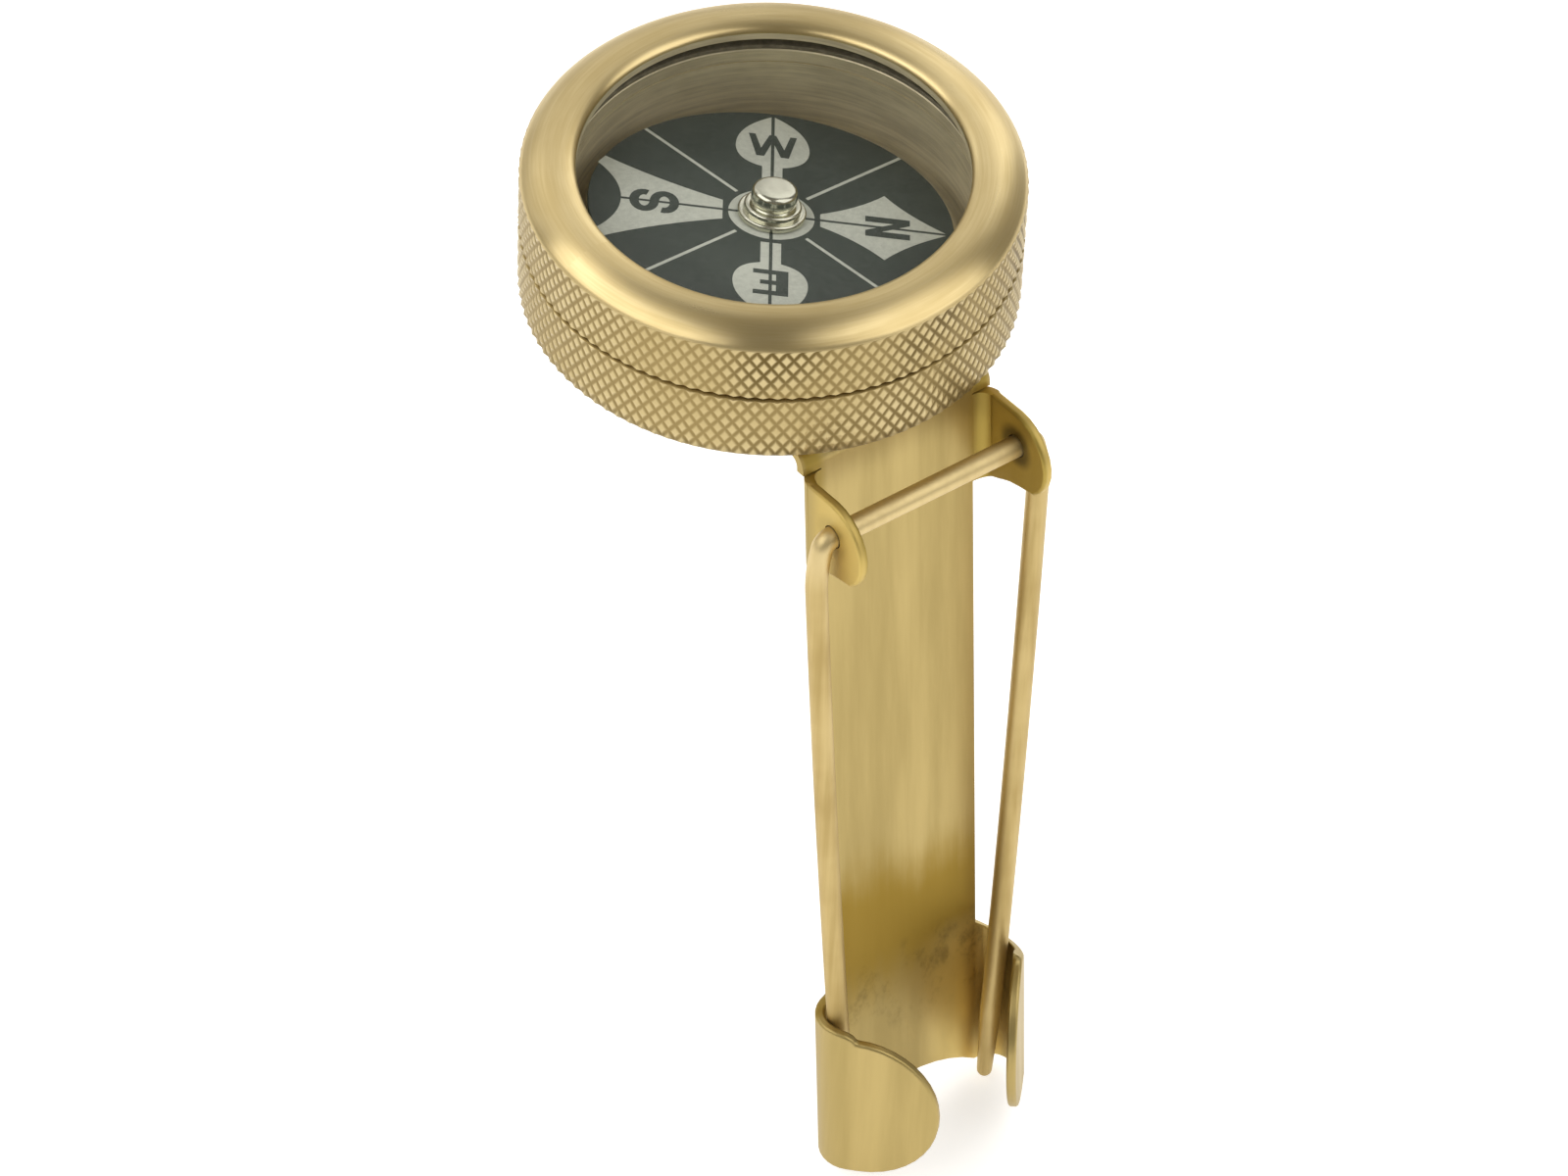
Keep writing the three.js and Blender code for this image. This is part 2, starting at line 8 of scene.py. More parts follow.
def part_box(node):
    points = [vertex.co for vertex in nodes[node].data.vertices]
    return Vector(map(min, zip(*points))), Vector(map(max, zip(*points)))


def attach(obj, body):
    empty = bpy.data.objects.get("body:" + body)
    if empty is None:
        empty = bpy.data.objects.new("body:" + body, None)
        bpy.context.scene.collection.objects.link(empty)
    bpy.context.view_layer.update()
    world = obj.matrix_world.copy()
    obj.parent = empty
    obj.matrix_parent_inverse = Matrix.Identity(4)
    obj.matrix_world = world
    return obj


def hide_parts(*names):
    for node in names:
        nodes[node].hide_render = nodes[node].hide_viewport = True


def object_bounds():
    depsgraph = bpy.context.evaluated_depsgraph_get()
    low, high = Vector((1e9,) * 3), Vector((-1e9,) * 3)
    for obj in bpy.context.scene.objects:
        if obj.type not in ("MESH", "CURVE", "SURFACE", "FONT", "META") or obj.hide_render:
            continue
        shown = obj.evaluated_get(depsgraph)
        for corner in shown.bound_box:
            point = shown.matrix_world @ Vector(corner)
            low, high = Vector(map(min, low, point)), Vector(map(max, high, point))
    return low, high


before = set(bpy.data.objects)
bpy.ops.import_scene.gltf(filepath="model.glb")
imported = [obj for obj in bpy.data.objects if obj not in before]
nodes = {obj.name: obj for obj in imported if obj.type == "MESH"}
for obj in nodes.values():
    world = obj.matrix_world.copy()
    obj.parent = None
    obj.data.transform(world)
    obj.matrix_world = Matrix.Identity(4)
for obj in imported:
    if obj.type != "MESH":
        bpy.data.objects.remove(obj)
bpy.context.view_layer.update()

# The looks of a pin-on compass: knurled brass case, printed card under glass, brass strap and wire pin.
# Sizes are in millimetres and levels in the case are above the foot of its knurled band.
MM = 0.001
QUARTER = math.pi / 2

# Case
CASE_R = 14.998
EDGE_BREAK = 0.4
EDGE_WIDTH = 0.8
FOOT_SEAM = -0.02
RING_TOP = 4.65
SPIGOT_R = 13.6
SPIGOT_TOP = 6.3
INNER_R = 12.2
FLOOR_TOP = 1.0
FLOOR_FILLET = 0.8
FILLET_STEPS = 6
POST_HOLE = 0.93

# Bezel
BEZEL_BOTTOM = 4.75
BAND_TOP = 8.52
BEZEL_BORE = 13.7
DOME_EDGE = 0.06
DOME_SHOULDER_R = 13.95
DOME_STEPS = 10
CREST_R = 12.7
CREST_Z = 9.57
APERTURE_R = 11.62
LIP_EDGE = 9.10
LIP_SEAT = 8.65
LIP_STEPS = 8

# Knurl: a flat top is a share of its diamond
KNURLS = 110
KNURL_DEPTH = 0.13
KNURL_ROW = 0.628
CASE_ROWS = 7
BEZEL_ROWS = 6
KNURL_FLAT = 0.16
KNURL_CROWN = 0.015
KNURL_SEAM = 0.28
KNURL_EDGE = 0.12
KNURL_SHARP = 62.0

# Window and its seat
CRYSTAL_R = 13.55
CRYSTAL_BOTTOM = 7.6
CRYSTAL_TOP = 8.6
CRYSTAL_CHAMFER = 0.2
RETAINER_TOP = 7.3
RETAINER_EDGE = 0.08
GASKET_EDGE = 0.06
RING_SIDES = 144

# Card, with its place on the needle and the heights of its inks
CARD_R = 10.9
CARD_HOLE = 1.15
CARD_T = 0.3
CARD_EDGE = 0.05
CARD_SIDES = 180
PIVOT_LEVEL = 5.77
CARD_DROP = 0.75
CARD_TILT = math.radians(11.4)
TILT_BEARING = math.radians(23.4)
CARD_HEADING = math.radians(-37.0)
PRINT_LIFT = 0.012
LINE_LIFT = 0.020
LETTER_LIFT = 0.024
STROKE_LIFT = 0.001
INK_SUNK = 0.02
INK_SHARP = 20.0
INK_SIDES = 96

# Hub: a flange, a step and a button, each with a rounded edge, over the cavity of the jewel
HUB_FOOT = CARD_T + 0.1
HUB_FLANGE_R = 2.05
HUB_FLANGE_TOP = HUB_FOOT + 0.35
HUB_FLANGE_ROUND = 0.14
HUB_STEP_R = 1.72
HUB_STEP_TOP = HUB_FLANGE_TOP + 0.4
HUB_STEP_ROUND = 0.16
HUB_BUTTON_R = 1.38
HUB_BUTTON_FOOT = HUB_STEP_TOP + 0.24
HUB_CROWN = HUB_STEP_TOP + 1.1
HUB_BUTTON_ROUND = 0.34
HUB_BUTTON_STEPS = 8
HUB_CROWN_R = 0.6
HUB_GROOVES = ((1.78, HUB_FLANGE_TOP - 0.03), (1.34, HUB_STEP_TOP - 0.03), (1.29, HUB_STEP_TOP + 0.05))
HUB_STEP_SUNK = 0.02
JEWEL_CAVITY_R = 1.05
JEWEL_CAVITY_TOP = HUB_FOOT + 1.3
HUB_SIDES = 72
HUB_SHARP = 40.0

# Pin wire, from the middle of its cross bar
WIRE_R = 0.675
WIRE_TIP_R = 0.486
WIRE_SIDES = 28
WIRE_SHARP = 50.0
ELBOW_R = 0.75
ELBOW_FLARE = math.radians(15)
SHOULDER_R = 11.0
SHOULDER_LEAN = math.radians(2)
BAR_HALF = 7.02
TIP_HALF = 5.4
LEG_DROP = 54.2
TIP_TAPER = 6.0
TIP_TURNS = (20, 40, 60, 75)
LEG_BOW = 0.2
PIN_LEAN = math.radians(-2.823)
HINGE = Vector((0.0, -0.95426, 24.18056))
BAR_STEPS = 5
ELBOW_STEPS = 10
SHOULDER_STEPS = 8
LEG_STEPS = 16
TAPER_STEPS = 4

# Bracket: the way through the sheet to its back, its thickness, its holes and its rounded rims
STRAP_BACK = Vector((0, 0.996041, -0.088894))
SHEET_T = 0.62
EAR_INSIDE = 6.0
HOLE_ZONE = 1.0
HOLE_R = 0.755
HOLE_CUTS = 2
RIM_ROUND = 0.17
RIM_SEGMENTS = 3
RIM_ANGLE = math.radians(40)
DOUBLES = 0.002
LOOSE_ENDS = 0.003
FLAT_ANGLE = math.radians(1.0)
FACE_WEIGHT = 50

# Where the corners of the rims lie: across from the middle, up, and ahead of the strap's face
EAR_RIM_WIDE = 6.3
EAR_RIM_LEVELS = (19.5, 27.5)
EAR_ROOT_LEVEL = 21
EAR_ROOT_AHEAD = 1.1
EAR_LOBE_AHEAD = 0.75
HOOK_LEVEL = -17
HOOK_AHEAD = 0.3
HOOK_WIDE = 5.8
NOTCH_LEVEL = -17.8
NOTCH_AHEAD = (3.1, 3.6)
SIDE_WIDE = (5.4, 5.6)
SIDE_LEVELS = (-17.2, 19.3)
SIDE_AHEAD = 0.1

# The middle of the case, at the foot of its knurled band
low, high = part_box("case_body")
case_base = Vector(((low.x + high.x) / 2, (low.y + high.y) / 2, low.z + EDGE_BREAK * MM))
BASE_MM = case_base / MM

# Colours, as a darker and a lighter tone where a finish runs between two
BRASS = (0.66, 0.51, 0.24)
BRASS_PALE = (0.76, 0.61, 0.32)
BRASS_DEEP = (0.50, 0.36, 0.14)
TARNISH = (0.37, 0.245, 0.040)
# Dark dirt for the specks and smudges, also laid as painted shade round the hinge holes and beside the right
# leg.
DIRT_AND_SHADE = (0.10, 0.07, 0.02)
KNURL_TOPS = ((0.50, 0.39, 0.185), (0.59, 0.475, 0.248))
KNURL_VALLEY = (0.37, 0.275, 0.112)
# The darkest valley tone is painted shade, laid in patches into the valleys at the front.
KNURL_VALLEY_SHADE = (0.16, 0.11, 0.036)
SHEET_TONES = ((0.425, 0.322, 0.121), (0.508, 0.387, 0.154))
# Painted shade on the inner faces of the ears and in the concave bends into them.
EAR_SHADE = (0.42, 0.300, 0.055)
# Painted highlight on the outer faces of the ears, strongest near their tops.
EAR_HIGHLIGHT = (0.63, 0.472, 0.148)
FOOT_RUBBED = (0.80, 0.62, 0.23)
WIRE_TONES = ((0.495, 0.365, 0.145), (0.605, 0.465, 0.21))
WALL_TONES = ((0.62, 0.54, 0.35), (0.90, 0.79, 0.52))
NICKEL_TONES = ((0.58, 0.57, 0.46), (0.72, 0.71, 0.58))
DARK_INK = ((0.060, 0.071, 0.060), (0.086, 0.100, 0.085))
LIGHT_INK = ((0.54, 0.56, 0.48), (0.67, 0.69, 0.595))
GLASS_TINT = (0.03, 0.035, 0.03)
NEEDLE_TONES = ((0.30, 0.31, 0.33), (0.52, 0.53, 0.55))
MAGNET_TONES = ((0.16, 0.165, 0.18), (0.30, 0.31, 0.33))
RUBBER_TONES = ((0.20, 0.175, 0.115), (0.30, 0.265, 0.18))
JEWEL_TONES = ((0.42, 0.10, 0.16), (0.55, 0.17, 0.24))
PAPER_TONES = ((0.90, 0.90, 0.90), (0.93, 0.93, 0.93))

# Ends of the ramps that turn a noise, which keeps near one half, into a full range
CLOSE = (0.36, 0.64)
EVEN = (0.35, 0.65)
STREAKED = (0.36, 0.66)
RINGED = (0.34, 0.66)
WIDE = (0.3, 0.7)
DUSTY = (0.35, 0.7)
FULL = (0.0, 1.0)
HALF = 0.5

# Sockets of a mix node that carry colours
MIX_FIRST = 6
MIX_SECOND = 7
MIX_RESULT = 2


# Materials
class Surface:
    """A procedural material: one Principled shader and the texture nodes that feed it."""

    def __init__(self, name, metallic=0.0, roughness=0.5, colour=(0.5, 0.5, 0.5)):
        self.material = bpy.data.materials.new(name)
        self.material.use_nodes = True
        self.tree = self.material.node_tree
        self.shader = next(n for n in self.tree.nodes if n.type == "BSDF_PRINCIPLED")
        self.shader.inputs["Metallic"].default_value = metallic
        self.shader.inputs["Roughness"].default_value = roughness
        self.shader.inputs["Base Color"].default_value = (*colour, 1)
        self.place = self.node("ShaderNodeTexCoord").outputs["Object"]

    def node(self, kind, **settings):
        made = self.tree.nodes.new(kind)
        for key, value in settings.items():
            setattr(made, key, value)
        return made

    def link(self, source, target):
        self.tree.links.new(source, target)

    def feed(self, socket, value):
        if isinstance(value, bpy.types.NodeSocket):
            self.link(value, socket)
        else:
            socket.default_value = value

    def math(self, operation, a, b=0.0):
        made = self.node("ShaderNodeMath", operation=operation)
        self.feed(made.inputs[0], a)
        self.feed(made.inputs[1], b)
        return made.outputs[0]

    def product(self, result, *others):
        for other in others:
            result = self.math("MULTIPLY", result, other)
        return result

    def total(self, result, *shares):
        """A value with others added, each a pair of value and weight."""
        for value, weight in shares:
            result = self.math("ADD", result, self.product(value, weight))
        return result

    def centred(self, noise):
        """A noise as a swing to both sides of zero."""
        return self.math("SUBTRACT", noise, HALF)

    def distance(self, a, b):
        """The length of a way with the two steps a and b square to each other."""
        return self.math("SQRT", self.math("ADD", self.product(a, a), self.product(b, b)))

    def scaled(self, scale, offset=(0, 0, 0)):
        made = self.node("ShaderNodeMapping")
        self.link(self.place, made.inputs["Vector"])
        made.inputs["Scale"].default_value = scale
        made.inputs["Location"].default_value = offset
        return made.outputs["Vector"]

    def noise(self, vector, scale=1.0, detail=3.0, rough=0.55):
        made = self.node("ShaderNodeTexNoise")
        self.link(vector, made.inputs["Vector"])
        made.inputs["Scale"].default_value = scale
        made.inputs["Detail"].default_value = detail
        made.inputs["Roughness"].default_value = rough
        return made.outputs["Fac"]

    def ramp(self, value, ends, gives=FULL):
        """A smooth ramp over what it gives, as the value goes between its ends."""
        made = self.node("ShaderNodeMapRange", interpolation_type="SMOOTHSTEP")
        self.link(value, made.inputs["Value"])
        made.inputs["From Min"].default_value, made.inputs["From Max"].default_value = ends
        made.inputs["To Min"].default_value, made.inputs["To Max"].default_value = gives
        return made.outputs["Result"]

    def zone(self, value, start, end):
        """One between two soft borders and nothing outside them."""
        return self.product(self.ramp(value, start), self.ramp(value, end))

    def mix(self, factor, a, b):
        made = self.node("ShaderNodeMix", data_type="RGBA")
        self.link(factor, made.inputs["Factor"])
        for index, value in ((MIX_FIRST, a), (MIX_SECOND, b)):
            self.feed(made.inputs[index], value if isinstance(value, bpy.types.NodeSocket) else (*value, 1))
        return made.outputs[MIX_RESULT]

    def parts(self, vector):
        made = self.node("ShaderNodeSeparateXYZ")
        self.link(vector, made.inputs[0])
        return [self.product(part, 1 / MM) for part in made.outputs]

    def turned(self):
        """Radius, level and angle round the case's axis."""
        moved = self.node("ShaderNodeVectorMath", operation="SUBTRACT")
        self.link(self.place, moved.inputs[0])
        moved.inputs[1].default_value = case_base
        x, y, level = self.parts(moved.outputs[0])
        return self.distance(x, y), level, self.math("ARCTAN2", y, x)

    def vector(self, x, y, z):
        made = self.node("ShaderNodeCombineXYZ")
        for socket, value in zip(made.inputs, (x, y, z)):
            self.link(value, socket)
        return made.outputs[0]

    def colour(self, value):
        self.link(value, self.shader.inputs["Base Color"])

    def roughness(self, value):
        self.link(value, self.shader.inputs["Roughness"])

    def bump(self, height, depth, strength):
        made = self.node("ShaderNodeBump")
        made.inputs["Strength"].default_value = strength
        made.inputs["Distance"].default_value = depth * MM
        self.link(height, made.inputs["Height"])
        self.link(made.outputs["Normal"], self.shader.inputs["Normal"])


# How fast the marks of turning change round the axis, and the clouds of the inner wall up the wall
FINE_TURN = 0.35
BROAD_TURN = 1.4
BORE_TURN = 0.5
CLOUD_TURN = 3.0
CLOUD_RISE = 0.6


def turned_brass(name, deep, pale, gloss, brushed=0.0):
    """Brass off the lathe: fine rings round the case's axis, in tone, gloss and relief. Where it is
    brushed, its highlights stretch across the rings."""
    s = Surface(name, metallic=1.0)
    if brushed:
        around_axis = s.node("ShaderNodeTangent", direction_type="RADIAL", axis="Z")
        s.link(around_axis.outputs[0], s.shader.inputs["Tangent"])
        s.shader.inputs["Anisotropic"].default_value = brushed
        s.shader.inputs["Anisotropic Rotation"].default_value = 0.25
    radius, level, angle = s.turned()
    fine = s.noise(s.vector(radius, level, s.product(angle, FINE_TURN)), scale=7.0, detail=4.0, rough=0.7)
    broad = s.noise(s.vector(radius, level, s.product(angle, BROAD_TURN)), scale=1.1, detail=2.0)
    patch = s.noise(s.place, scale=160.0)
    tone = s.total(s.product(fine, 0.4), (broad, 0.35), (patch, 0.25))
    s.colour(s.mix(s.ramp(tone, CLOSE), deep, pale))
    s.roughness(s.ramp(tone, EVEN, gives=gloss))
    s.bump(fine, depth=0.004, strength=0.6)
    return s.material


# The side of the knurl whose valleys hold painted shade, as the ends of its borders: angle in radians, and
# level
SHADE_FROM = (-2.7, -2.1)
SHADE_TO = (-0.2, -0.8)
SHADE_RING = (4.4, 5.0)
SHADE_PATCHES = (0.36, 0.62)
KNURL_RISE = (CASE_R - KNURL_DEPTH, CASE_R - 0.02)
KNURL_WEAR = (0.0, 0.8)


def knurled_brass():
    """Brass with brown left in the valleys of the knurl and bright, worn tops. The valleys at the front,
    most on the bezel's band, are painted darker in patches as shade.
    """
    s = Surface("knurl_brass", metallic=1.0)
    radius, level, angle = s.turned()
    dirt = s.noise(s.place, scale=700.0, detail=4.0, rough=0.65)
    patch = s.noise(s.place, scale=120.0, detail=2.0)
    worn = s.total(s.ramp(radius, KNURL_RISE), (s.centred(dirt), 0.5))
    # Painted shade: the valleys at the front, most on the bezel's band, darken in patches.
    front = s.product(s.zone(angle, SHADE_FROM, SHADE_TO), s.ramp(level, SHADE_RING, gives=(0.55, 1.0)))
    valley_shade = s.product(s.ramp(front, FULL, gives=(0.25, 1.0)), s.ramp(patch, SHADE_PATCHES, gives=(0.3, 1.0)))
    valley = s.mix(valley_shade, KNURL_VALLEY, KNURL_VALLEY_SHADE)
    s.colour(s.mix(s.ramp(worn, KNURL_WEAR), valley, s.mix(s.ramp(patch, EVEN), *KNURL_TOPS)))
    s.roughness(s.ramp(worn, FULL, gives=(0.52, 0.32)))
    s.bump(dirt, depth=0.012, strength=0.5)
    return s.material


# Borders of the strap's stains and of its painted shade and highlight: through the sheet, across and up,
# each as the ends of a ramp
BLADE_FACE = (-1.3, -0.5)
BLADE_BACK = (0.5, 0.2)
BAND_HEAD = (-6.4, -11.6)
BAND_FOOT = (-22.5, -15.5)
EAR_UP = (18.0, 20.0)
EAR_OUT = (5.0, 5.9)
EAR_INNER_FACE = (6.75, 6.5)
EAR_OUTER_FACE = (6.45, 6.75)
EAR_LOBE = (-0.5, -2.2)
EAR_UPPER = (20.3, 23.2)
RUBBED_SIDE = (0.5, 4.5)
RUBBED_HEAD = (-15.5, -18.5)
RUBBED_CLOUD = (0.25, 0.6)
HOLE_SHADE_REACH = (1.75, 0.95)
HOLE_INNER_FACE = (6.2, 6.4)
HOLE_OUTER_FACE = (6.9, 6.7)
HOLE_CLOUD = (0.3, 0.62)
SPECKS = (0.50, 0.72)
SPECKS_HEAD = (-14.5, -17.0)
SPECKS_FOOT = (-24.5, -20.0)
SMUDGE_SHADOW_LEFT = (3.2, 4.4)
SMUDGE_SHADOW_RIGHT = (5.6, 4.8)
SMUDGE_SHADOW_HEAD = (-18.5, -20.5)
SMUDGE_SHADOW_FOOT = (-24.0, -22.0)
SMUDGE_SHADOW_CLOUD = (0.35, 0.6)

# How far streaks, broad streaks and clouds move the edge of the tarnished band, and how strong the stains
# and the painted shade are
BAND_SWINGS = (2.6, 7.0, 5.0)
BAND_STRENGTH = 0.95
EAR_SHADE_STRENGTH = 0.75
DIRT_AND_SHADOW_STRENGTH = 0.5


def strap_brass():
    """Rolled brass sheet: streaks down the strap, a tarnished band above the hooks, smudges and scuffs.
    Painted shade darkens the ears' insides and the rims of the hinge holes, a painted highlight lightens the
    ears' outer faces, and the dark patch by the right leg is partly painted shadow.
    """
    s = Surface("strap_brass", metallic=1.0)
    across, back, level = s.parts(s.place)
    wide = s.math("ABSOLUTE", across)
    depth = s.total(s.product(back, STRAP_BACK.y), (level, STRAP_BACK.z))
    streak = s.noise(s.scaled((900.0, 700.0, 28.0)), detail=4.0, rough=0.6)
    broad = s.noise(s.scaled((240.0, 200.0, 22.0), offset=(3.1, 0.4, 1.7)), detail=2.0)
    cloud = s.noise(s.scaled((150.0, 150.0, 90.0), offset=(0.0, 2.2, 0.6)), detail=4.0, rough=0.6)
    speck = s.noise(s.scaled((420.0, 420.0, 260.0), offset=(5.0, 1.0, 0.3)), detail=5.0, rough=0.7)
    grain = s.noise(s.place, scale=2600.0, detail=2.0, rough=0.7)
    tone = s.total(s.product(streak, 0.4), (broad, 0.6))
    blade = s.zone(depth, BLADE_FACE, BLADE_BACK)

    swings = [(s.centred(noise), swing) for noise, swing in zip((streak, broad, cloud), BAND_SWINGS)]
    ragged = s.total(level, *swings)
    band = s.product(s.zone(ragged, BAND_HEAD, BAND_FOOT), blade)
    metal = s.mix(s.product(band, BAND_STRENGTH), s.mix(s.ramp(tone, STREAKED), *SHEET_TONES), TARNISH)

    ear = s.product(s.ramp(level, EAR_UP), s.ramp(wide, EAR_OUT))
    # Painted shade: the inner faces of the ears and the concave bends into them are darkened.
    metal = s.mix(s.product(ear, s.ramp(wide, EAR_INNER_FACE), EAR_SHADE_STRENGTH), metal, EAR_SHADE)
    # Painted highlight: the outer faces of the ears are lightened, more toward the front of the ear and its
    # top.
    outer = s.product(ear, s.ramp(wide, EAR_OUTER_FACE), s.ramp(depth, EAR_LOBE, gives=(0.25, 0.95)))
    metal = s.mix(s.product(outer, s.ramp(level, EAR_UPPER, gives=(0.55, 1.0))), metal, EAR_HIGHLIGHT)

    paler = s.product(s.ramp(across, RUBBED_SIDE), s.ramp(level, RUBBED_HEAD), blade)
    metal = s.mix(s.product(paler, s.ramp(cloud, RUBBED_CLOUD, gives=(0.7, 1.0))), metal, FOOT_RUBBED)

    # Painted shade: a dark ring round each hinge hole, mostly on the ears' inner faces, stands in for the
    # hole's shadowed wall.
    from_hole = s.distance(s.math("SUBTRACT", level, HINGE.z), s.math("SUBTRACT", back, HINGE.y))
    hole_shade = s.product(s.ramp(from_hole, HOLE_SHADE_REACH), s.ramp(wide, HOLE_INNER_FACE))
    hole_shade = s.product(hole_shade, s.ramp(wide, HOLE_OUTER_FACE, gives=(0.2, 1.0)))
    metal = s.mix(s.product(hole_shade, s.ramp(cloud, HOLE_CLOUD, gives=(0.45, 0.9))), metal, DIRT_AND_SHADE)

    specks = s.product(s.ramp(speck, SPECKS), s.zone(level, SPECKS_HEAD, SPECKS_FOOT))
    # A dark patch beside the right leg, partly a scuff and partly painted shadow of the leg.
    smudge_and_shadow = s.product(s.zone(across, SMUDGE_SHADOW_LEFT, SMUDGE_SHADOW_RIGHT), s.zone(level, SMUDGE_SHADOW_HEAD, SMUDGE_SHADOW_FOOT))
    smudge_and_shadow = s.product(smudge_and_shadow, s.ramp(cloud, SMUDGE_SHADOW_CLOUD, gives=(0.1, 0.6)))
    dirt_and_shadow = s.product(s.math("MAXIMUM", specks, smudge_and_shadow), blade, DIRT_AND_SHADOW_STRENGTH)
    s.colour(s.mix(dirt_and_shadow, metal, DIRT_AND_SHADE))
    s.roughness(s.total(s.ramp(tone, WIDE, gives=(0.48, 0.38)), (band, 0.12), (ear, 0.12)))
    s.bump(s.total(streak, (grain, 0.5)), depth=0.006, strength=0.5)
    return s.material


def wire_brass():
    """Drawn wire: faint lines along the legs, darker here and there, and paler over the cross bar as a
    painted highlight.
    """
    s = Surface("wire_brass", metallic=1.0)
    line = s.noise(s.scaled((1800.0, 1800.0, 60.0)))
    patch = s.noise(s.place, scale=140.0)
    tone = s.total(s.product(line, 0.45), (patch, 0.55))
    # Painted highlight: the cross bar and the tops of the legs are mixed toward pale brass.
    paler = s.ramp(s.parts(s.place)[2], ends=(20.5, 23.3), gives=(0.0, 0.7))
    s.colour(s.mix(paler, s.mix(s.ramp(tone, STREAKED), *WIRE_TONES), BRASS_PALE))
    s.roughness(s.ramp(tone, EVEN, gives=(0.56, 0.46)))
    s.bump(line, depth=0.004, strength=0.4)
    return s.material


def wall_brass():
    """The bare inner wall: dull, greyed brass with rings left by the boring tool."""
    s = Surface("wall_brass", metallic=0.35)
    radius, level, angle = s.turned()
    ring = s.noise(s.vector(radius, level, s.product(angle, BORE_TURN)), scale=3.2, detail=4.0, rough=0.7)
    cloud = s.noise(s.vector(radius, s.product(level, CLOUD_RISE), s.product(angle, CLOUD_TURN)))
    tone = s.total(s.product(ring, 0.6), (cloud, 0.4))
    s.colour(s.mix(s.ramp(tone, RINGED), *WALL_TONES))
    s.roughness(s.ramp(tone, EVEN, gives=(0.5, 0.36)))
    s.bump(ring, depth=0.008, strength=0.5)
    return s.material


def plated_nickel():
    """Polished plate with a fine grain."""
    s = Surface("hub_nickel", metallic=1.0)
    fine = s.noise(s.place, scale=1500.0)
    patch = s.noise(s.place, scale=420.0, detail=2.0)
    s.colour(s.mix(s.ramp(patch, EVEN), *NICKEL_TONES))
    s.roughness(s.ramp(fine, WIDE, gives=(0.24, 0.16)))
    s.bump(fine, depth=0.002, strength=0.4)
    return s.material


def card_ink(name, tones, rough, swing=0.06):
    """Matt ink with a fine mottle."""
    s = Surface(name, roughness=rough)
    s.shader.inputs["Specular IOR Level"].default_value = 0.2
    grain = s.noise(s.place, scale=3200.0, rough=0.7)
    cloud = s.noise(s.place, scale=190.0)
    s.colour(s.mix(s.ramp(s.total(s.product(grain, HALF), (cloud, HALF)), CLOSE), *tones))
    s.roughness(s.ramp(cloud, WIDE, gives=(rough - swing, rough + swing)))
    s.bump(grain, depth=0.004, strength=0.4)
    return s.material


def window_glass():
    """Clear glass, with a faint bloom of dust that changes its gloss."""
    s = Surface("window_glass", roughness=0.03, colour=GLASS_TINT)
    dust = s.noise(s.place, scale=420.0, detail=5.0, rough=0.7)
    s.roughness(s.ramp(dust, ends=(0.45, 0.8), gives=(0.015, 0.09)))
    s.link(s.ramp(dust, ends=(0.4, 0.8), gives=(0.045, 0.075)), s.shader.inputs["Alpha"])
    s.material.surface_render_method = "BLENDED"
    return s.material


def ground_steel(name, tones):
    """Steel with the lines of its grinding."""
    s = Surface(name, metallic=1.0)
    grind = s.noise(s.scaled((2400.0, 260.0, 2400.0)))
    s.colour(s.mix(s.ramp(grind, EVEN), *tones))
    s.roughness(s.ramp(grind, WIDE, gives=(0.42, 0.26)))
    s.bump(grind, depth=0.004, strength=0.4)
    return s.material


def soft_rubber():
    """Grey brown sealing rubber with a dusty grain."""
    s = Surface("gasket_rubber", roughness=0.8)
    grain = s.noise(s.place, scale=1800.0, detail=4.0, rough=0.7)
    s.colour(s.mix(s.ramp(grain, DUSTY), *RUBBER_TONES))
    s.roughness(s.ramp(grain, WIDE, gives=(0.72, 0.88)))
    s.bump(grain, depth=0.01, strength=0.4)
    return s.material


def pink_jewel():
    """The cup of the bearing: a polished synthetic stone."""
    s = Surface("jewel_stone", roughness=0.1)
    cloud = s.noise(s.place, scale=900.0, detail=2.0)
    s.colour(s.mix(s.ramp(cloud, WIDE), *JEWEL_TONES))
    s.roughness(s.ramp(cloud, WIDE, gives=(0.07, 0.14)))
    return s.material


DOME = turned_brass("dome_brass", BRASS, BRASS_PALE, gloss=(0.35, 0.27), brushed=0.84)
KNURL = knurled_brass()
PLAIN = turned_brass("turned_brass", BRASS_DEEP, BRASS, gloss=(0.48, 0.36))
WALL = wall_brass()
STRAP = strap_brass()
WIRE = wire_brass()
NICKEL = plated_nickel()
CARD_DARK = card_ink("card_dark", DARK_INK, rough=0.55)
CARD_LIGHT = card_ink("card_light", LIGHT_INK, rough=0.5)
GLASS = window_glass()
STEEL = ground_steel("needle_steel", NEEDLE_TONES)
MAGNET = ground_steel("magnet_steel", MAGNET_TONES)
RUBBER = soft_rubber()
JEWEL = pink_jewel()


# Meshes, and the angle in degrees from which their edges stay sharp
SHARP = 35.0


def set_piece(name, mesh, body, stands_for=(), sharp=SHARP):
    """A mesh as a smooth piece that rides on a body."""
    mesh.shade_smooth()
    mesh.set_sharp_from_angle(angle=math.radians(sharp))
    piece = bpy.data.objects.new(name, mesh)
    bpy.context.scene.collection.objects.link(piece)
    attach(piece, body)
    if stands_for:
        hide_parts(*stands_for)
    return piece


